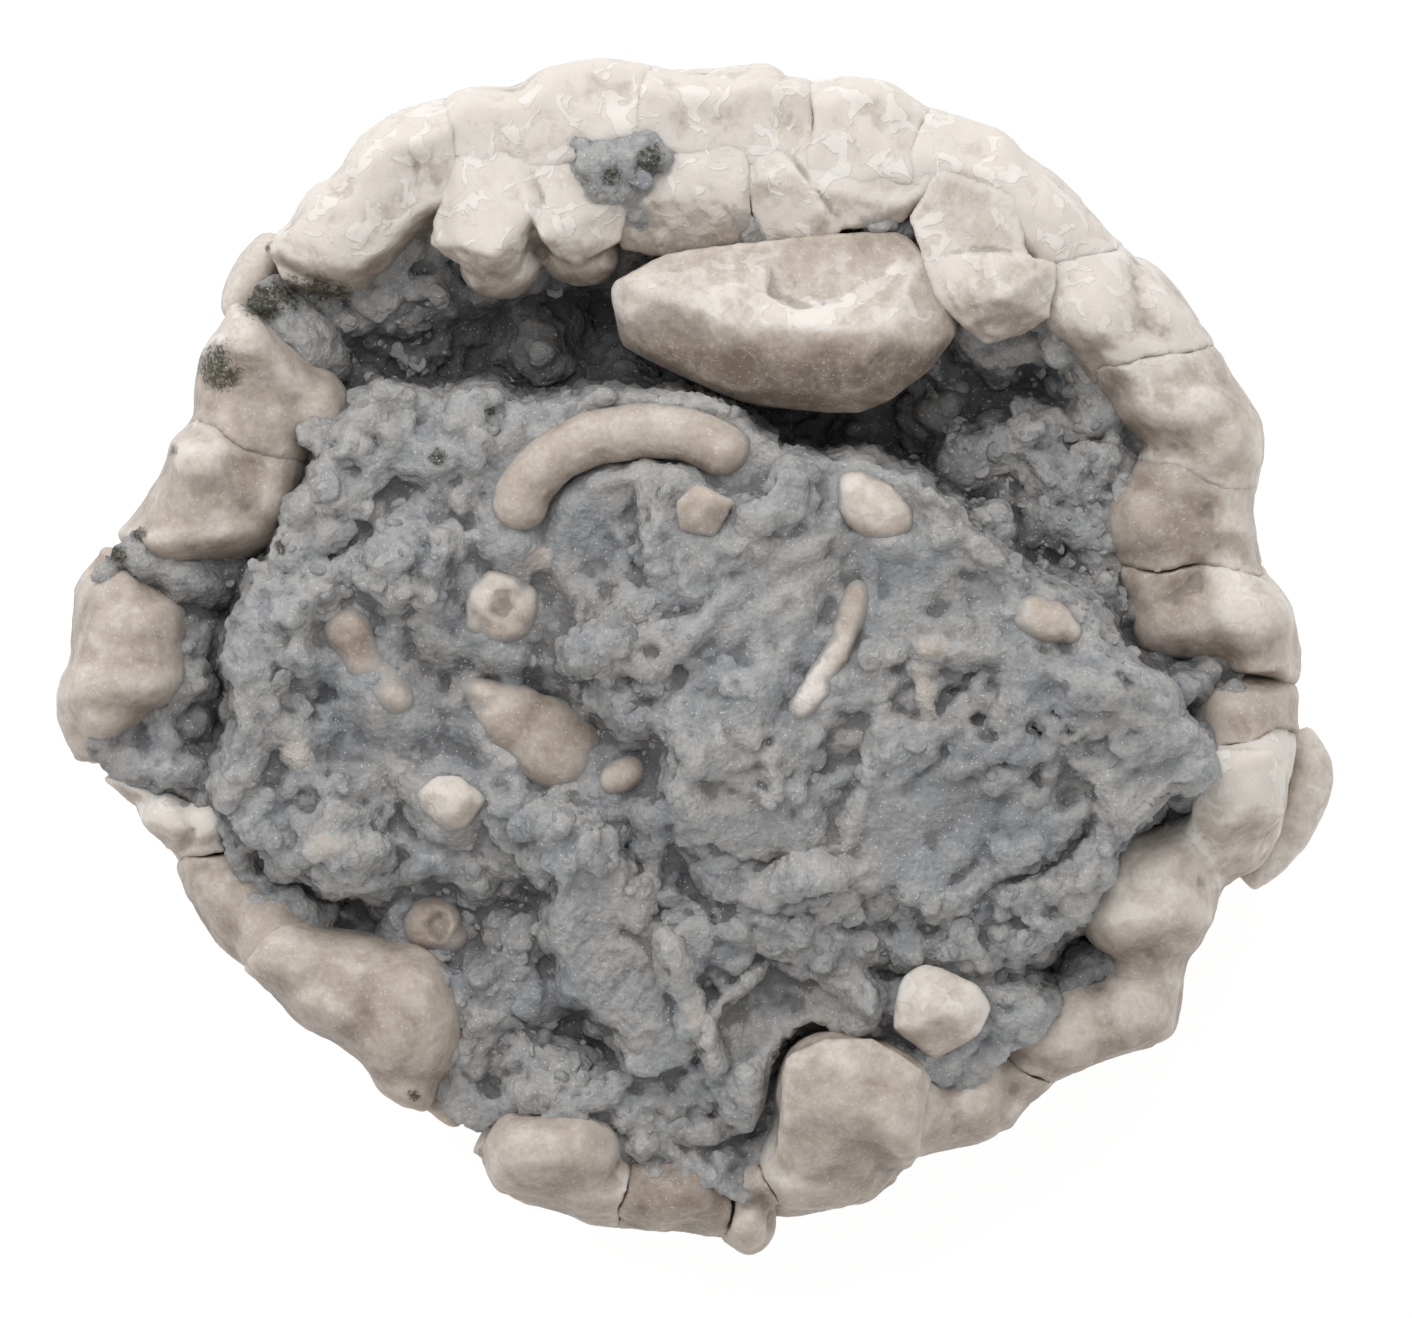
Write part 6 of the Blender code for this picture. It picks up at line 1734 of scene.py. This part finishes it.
def matrix_material(name, looks):
    """Grey limestone: tinted shards, painted shade in pores, creases and hollows, painted light on raised
    edges and a painted glitter of crystals.
    """
    material, tree, shader = start_material(name)
    grain, glints, crevice, soil = stone_parts(tree, 1500.0, 6000.0, 0.07, 1.0)
    tone = stored(tree, "tone")
    # painted light: raised places of the limestone are drawn paler, along with the shards' tones and
    # grain
    lighter = plus(tree, span(tree, tone, -1.0, 1.0, -0.55, 0.6),
                   span(tree, stored(tree, "relief"), 0.0, 1.0, 0.0, 0.35))
    lighter = plus(tree, lighter, span(tree, grain["Value"], 0.33, 0.67, -0.42, 0.34))
    colour = lay_over(
        tree, looks.matrix_blue,
        (span(tree, speckle(tree, 2.6, 4.0), 0.4, 0.62), looks.matrix_warm),
        (span(tree, lighter, 0.0, 1.0, 0.0, 0.9), looks.matrix_pale),
        (span(tree, lighter, 0.0, -0.8, 0.0, 0.8), looks.matrix_dark),
        (times(tree, span(tree, tone, 0.45, 0.8), 0.7), looks.calcite_cream),
        # painted shade darkens the creases of the limestone
        (times(tree, crevice, 0.58), looks.matrix_deep_shade),
        # painted shade: ground that sinks below its surroundings is darkened
        (span(tree, stored(tree, "hollow"), -0.2, -2.0, 0.0, 0.72), looks.matrix_deep_shade),
        (soil, looks.soil),
        # painted highlights: crystal glints painted near white
        (times(tree, glints, 0.5), (0.85, 0.87, 0.9)))
    rough = plus(tree, span(tree, grain["Value"], 0.3, 0.7, 0.68, 0.85), times(tree, glints, -0.45))
    pits = texture(tree, "Voronoi", 4200.0)["Distance"]
    height = plus(tree, grain["Height"], times(tree, pits, -0.35))
    finish_stone(tree, shader, colour, rough, height, 1.0, 0.00014)
    shader["Specular IOR Level"].default_value = 0.35
    return material


# ---- settings and buttons

def colour_setting(name, description, default):
    return FloatVectorProperty(name=name, description=description, default=default, subtype="COLOR",
                               size=3, min=0, max=1)


class FOSSIL_PG_looks(PropertyGroup):
    """Colours of the stone."""
    calcite_brown: colour_setting("Brown calcite", "Worn brown plates", (0.205, 0.158, 0.124))
    calcite_beige: colour_setting("Beige calcite", "Ordinary plates", (0.365, 0.302, 0.255))
    calcite_cream: colour_setting("Cream calcite", "Paler plates", (0.51, 0.442, 0.385))
    calcite_white: colour_setting("White calcite", "Broken and frosted calcite", (0.72, 0.665, 0.61))
    flake_white: colour_setting("Flakes", "Thin white layers on broken calcite", (0.85, 0.81, 0.77))
    # the colour of the painted shade in the creases of plates
    crevice: colour_setting("Crevices", "Dirt in the creases of plates", (0.14, 0.115, 0.095))
    matrix_blue: colour_setting("Blue grey", "Cooler limestone", (0.275, 0.284, 0.298))
    matrix_warm: colour_setting("Warm grey", "Warmer limestone", (0.34, 0.325, 0.31))
    matrix_pale: colour_setting("Pale grey", "Edges and pale shards", (0.52, 0.51, 0.49))
    matrix_dark: colour_setting("Dark grey", "Dark shards", (0.17, 0.173, 0.18))
    soil: colour_setting("Soil", "Dark grains of soil", (0.045, 0.043, 0.025))
    # the colour of the painted shade in deep places and pores
    matrix_deep_shade: colour_setting("Pores", "Deep places in the limestone", (0.07, 0.07, 0.073))


class FOSSIL_PG_studio(PropertyGroup):
    """Light and view."""
    world_light: FloatProperty(name="World light", description="Strength of the light all round",
                               default=0.62, min=0)
    top_light: FloatProperty(name="Top light", description="Power of the large lamp", default=1.25,
                             min=0, unit="POWER")
    view_width: FloatProperty(name="View width", description="Width seen at the rim's height",
                              default=0.04954, min=0.001, unit="LENGTH")
    view_distance: FloatProperty(name="View distance", description="From the rim to the camera",
                                 default=0.6, min=0.01, unit="LENGTH")


def finish(name, maker, *values):
    return bpy.data.materials.get(name) or maker(name, bpy.context.scene.fossil_looks, *values)


def plate_finish():
    return finish("weathered_calcite", calcite_material, 0.25)


def broken_finish():
    return finish("fractured_calcite", calcite_material, 0.3)


def matrix_finish():
    return finish("grey_limestone", matrix_material)


class FOSSIL_OT_matrix(Operator):
    """Build the broken grey matrix"""
    bl_idname = "fossil.matrix"
    bl_label = "Matrix"

    def execute(self, context):
        make_matrix(matrix_finish())
        return {"FINISHED"}


class FOSSIL_OT_hash(Operator):
    """Strew the small broken bits over the matrix"""
    bl_idname = "fossil.hash"
    bl_label = "Hash"

    def execute(self, context):
        make_hash(matrix_finish())
        return {"FINISHED"}


class FOSSIL_OT_rim(Operator):
    """Build the plates of the rim"""
    bl_idname = "fossil.rim"
    bl_label = "Rim plates"

    def execute(self, context):
        make_rim(plate_finish())
        return {"FINISHED"}


class FOSSIL_OT_lower(Operator):
    """Build the plates under the rim and the base"""
    bl_idname = "fossil.lower"
    bl_label = "Lower plates"

    def execute(self, context):
        make_lower(plate_finish())
        return {"FINISHED"}


class FOSSIL_OT_displaced(Operator):
    """Build the big displaced plate"""
    bl_idname = "fossil.displaced"
    bl_label = "Displaced plate"

    def execute(self, context):
        make_displaced(broken_finish())
        return {"FINISHED"}


class FOSSIL_OT_broken(Operator):
    """Build the broken plates inside the rim"""
    bl_idname = "fossil.broken"
    bl_label = "Broken plates"

    def execute(self, context):
        names = [name for name in BLOCKS if name.startswith("broken_plate")]
        make_blocks(broken_finish(), "broken_calcite", names)
        return {"FINISHED"}


class FOSSIL_OT_ossicles(Operator):
    """Build the small ossicles set in the matrix"""
    bl_idname = "fossil.ossicles"
    bl_label = "Ossicles"

    def execute(self, context):
        names = [name for name in BLOCKS if not name.startswith("broken_plate")]
        make_blocks(plate_finish(), "calcite_plate", names)
        make_ossicles(plate_finish())
        return {"FINISHED"}


class FOSSIL_OT_crescent(Operator):
    """Build the crescent ossicle"""
    bl_idname = "fossil.crescent"
    bl_label = "Crescent"

    def execute(self, context):
        make_crescent(plate_finish())
        return {"FINISHED"}


class FOSSIL_OT_outer(Operator):
    """Build the arm piece and the splinter outside the rim"""
    bl_idname = "fossil.outer"
    bl_label = "Outer pieces"

    def execute(self, context):
        make_outer(plate_finish())
        return {"FINISHED"}


LAMP_PLACE = (-0.09, 0.26, 0.34)
LAMP_TARGET = (0, 0, 0.015)
LAMP_SIZE = 0.5
SENSOR = 36  # width of the camera's sensor, in millimetres
# The point at the rim's height that the camera looks down at, in millimetres
VIEW_MIDDLE = (0.316, -0.02, 14.5)


class FOSSIL_OT_stage(Operator):
    """Set the floor, the light and the camera"""
    bl_idname = "fossil.stage"
    bl_label = "Stage"

    def execute(self, context):
        studio = context.scene.fossil_studio
        floor = start_piece("floor")
        bpy.ops.mesh.primitive_plane_add(size=3)
        leave_edit()
        material, _, shader = start_material("studio_floor")
        set_inputs(shader, {"Base Color": (0.2, 0.2, 0.2, 1), "Roughness": 0.9,
                            "Emission Color": (1, 1, 1, 1), "Emission Strength": 0.88})
        floor.data.materials.append(material)

        world = bpy.data.worlds.new("studio_world")
        world.use_nodes = True
        set_inputs(world.node_tree.nodes["Background"].inputs,
                   {"Color": (1, 1, 1, 1), "Strength": studio.world_light})
        context.scene.world = world

        lamp_data = bpy.data.lights.new("window", "AREA")
        lamp_data.shape = "DISK"
        lamp_data.size = LAMP_SIZE
        lamp_data.energy = studio.top_light
        lamp = bpy.data.objects.new("window", lamp_data)
        lamp.location = LAMP_PLACE
        way = Vector(LAMP_TARGET) - lamp.location
        lamp.rotation_euler = way.to_track_quat("-Z", "Y").to_euler()
        context.scene.collection.objects.link(lamp)

        camera_data = bpy.data.cameras.new("camera")
        camera_data.sensor_width = SENSOR
        camera_data.lens = SENSOR * studio.view_distance / studio.view_width
        camera_data.clip_start = 0.01
        camera = bpy.data.objects.new("camera", camera_data)
        camera.location = Vector(VIEW_MIDDLE) * MM + Vector((0, 0, studio.view_distance))
        context.scene.collection.objects.link(camera)
        context.scene.camera = camera
        context.scene.view_settings.view_transform = "Standard"
        return {"FINISHED"}


OPERATORS = (FOSSIL_OT_matrix, FOSSIL_OT_hash, FOSSIL_OT_rim, FOSSIL_OT_lower, FOSSIL_OT_displaced,
             FOSSIL_OT_broken, FOSSIL_OT_ossicles, FOSSIL_OT_crescent, FOSSIL_OT_outer,
             FOSSIL_OT_stage)


class FOSSIL_PT_panel(Panel):
    bl_idname = "FOSSIL_PT_panel"
    bl_label = "Fossil crinoid cup"
    bl_space_type = "VIEW_3D"
    bl_region_type = "UI"
    bl_category = "Fossil"

    def draw(self, context):
        for settings in (context.scene.fossil_looks, context.scene.fossil_studio):
            for name in settings.__annotations__:
                self.layout.prop(settings, name)
        for operator in OPERATORS:
            self.layout.operator(operator.bl_idname)


CLASSES = (FOSSIL_PG_looks, FOSSIL_PG_studio) + OPERATORS + (FOSSIL_PT_panel,)


def register():
    for made in CLASSES:
        bpy.utils.register_class(made)
    bpy.types.Scene.fossil_looks = PointerProperty(type=FOSSIL_PG_looks)
    bpy.types.Scene.fossil_studio = PointerProperty(type=FOSSIL_PG_studio)


def unregister():
    del bpy.types.Scene.fossil_studio
    del bpy.types.Scene.fossil_looks
    for made in reversed(CLASSES):
        bpy.utils.unregister_class(made)


def main():
    register()
    bpy.ops.fossil.matrix()
    bpy.ops.fossil.hash()
    bpy.ops.fossil.rim()
    bpy.ops.fossil.lower()
    bpy.ops.fossil.displaced()
    bpy.ops.fossil.broken()
    bpy.ops.fossil.ossicles()
    bpy.ops.fossil.crescent()
    bpy.ops.fossil.outer()
    bpy.ops.fossil.stage()
    bpy.context.view_layer.update()


if __name__ == "__main__":
    main()
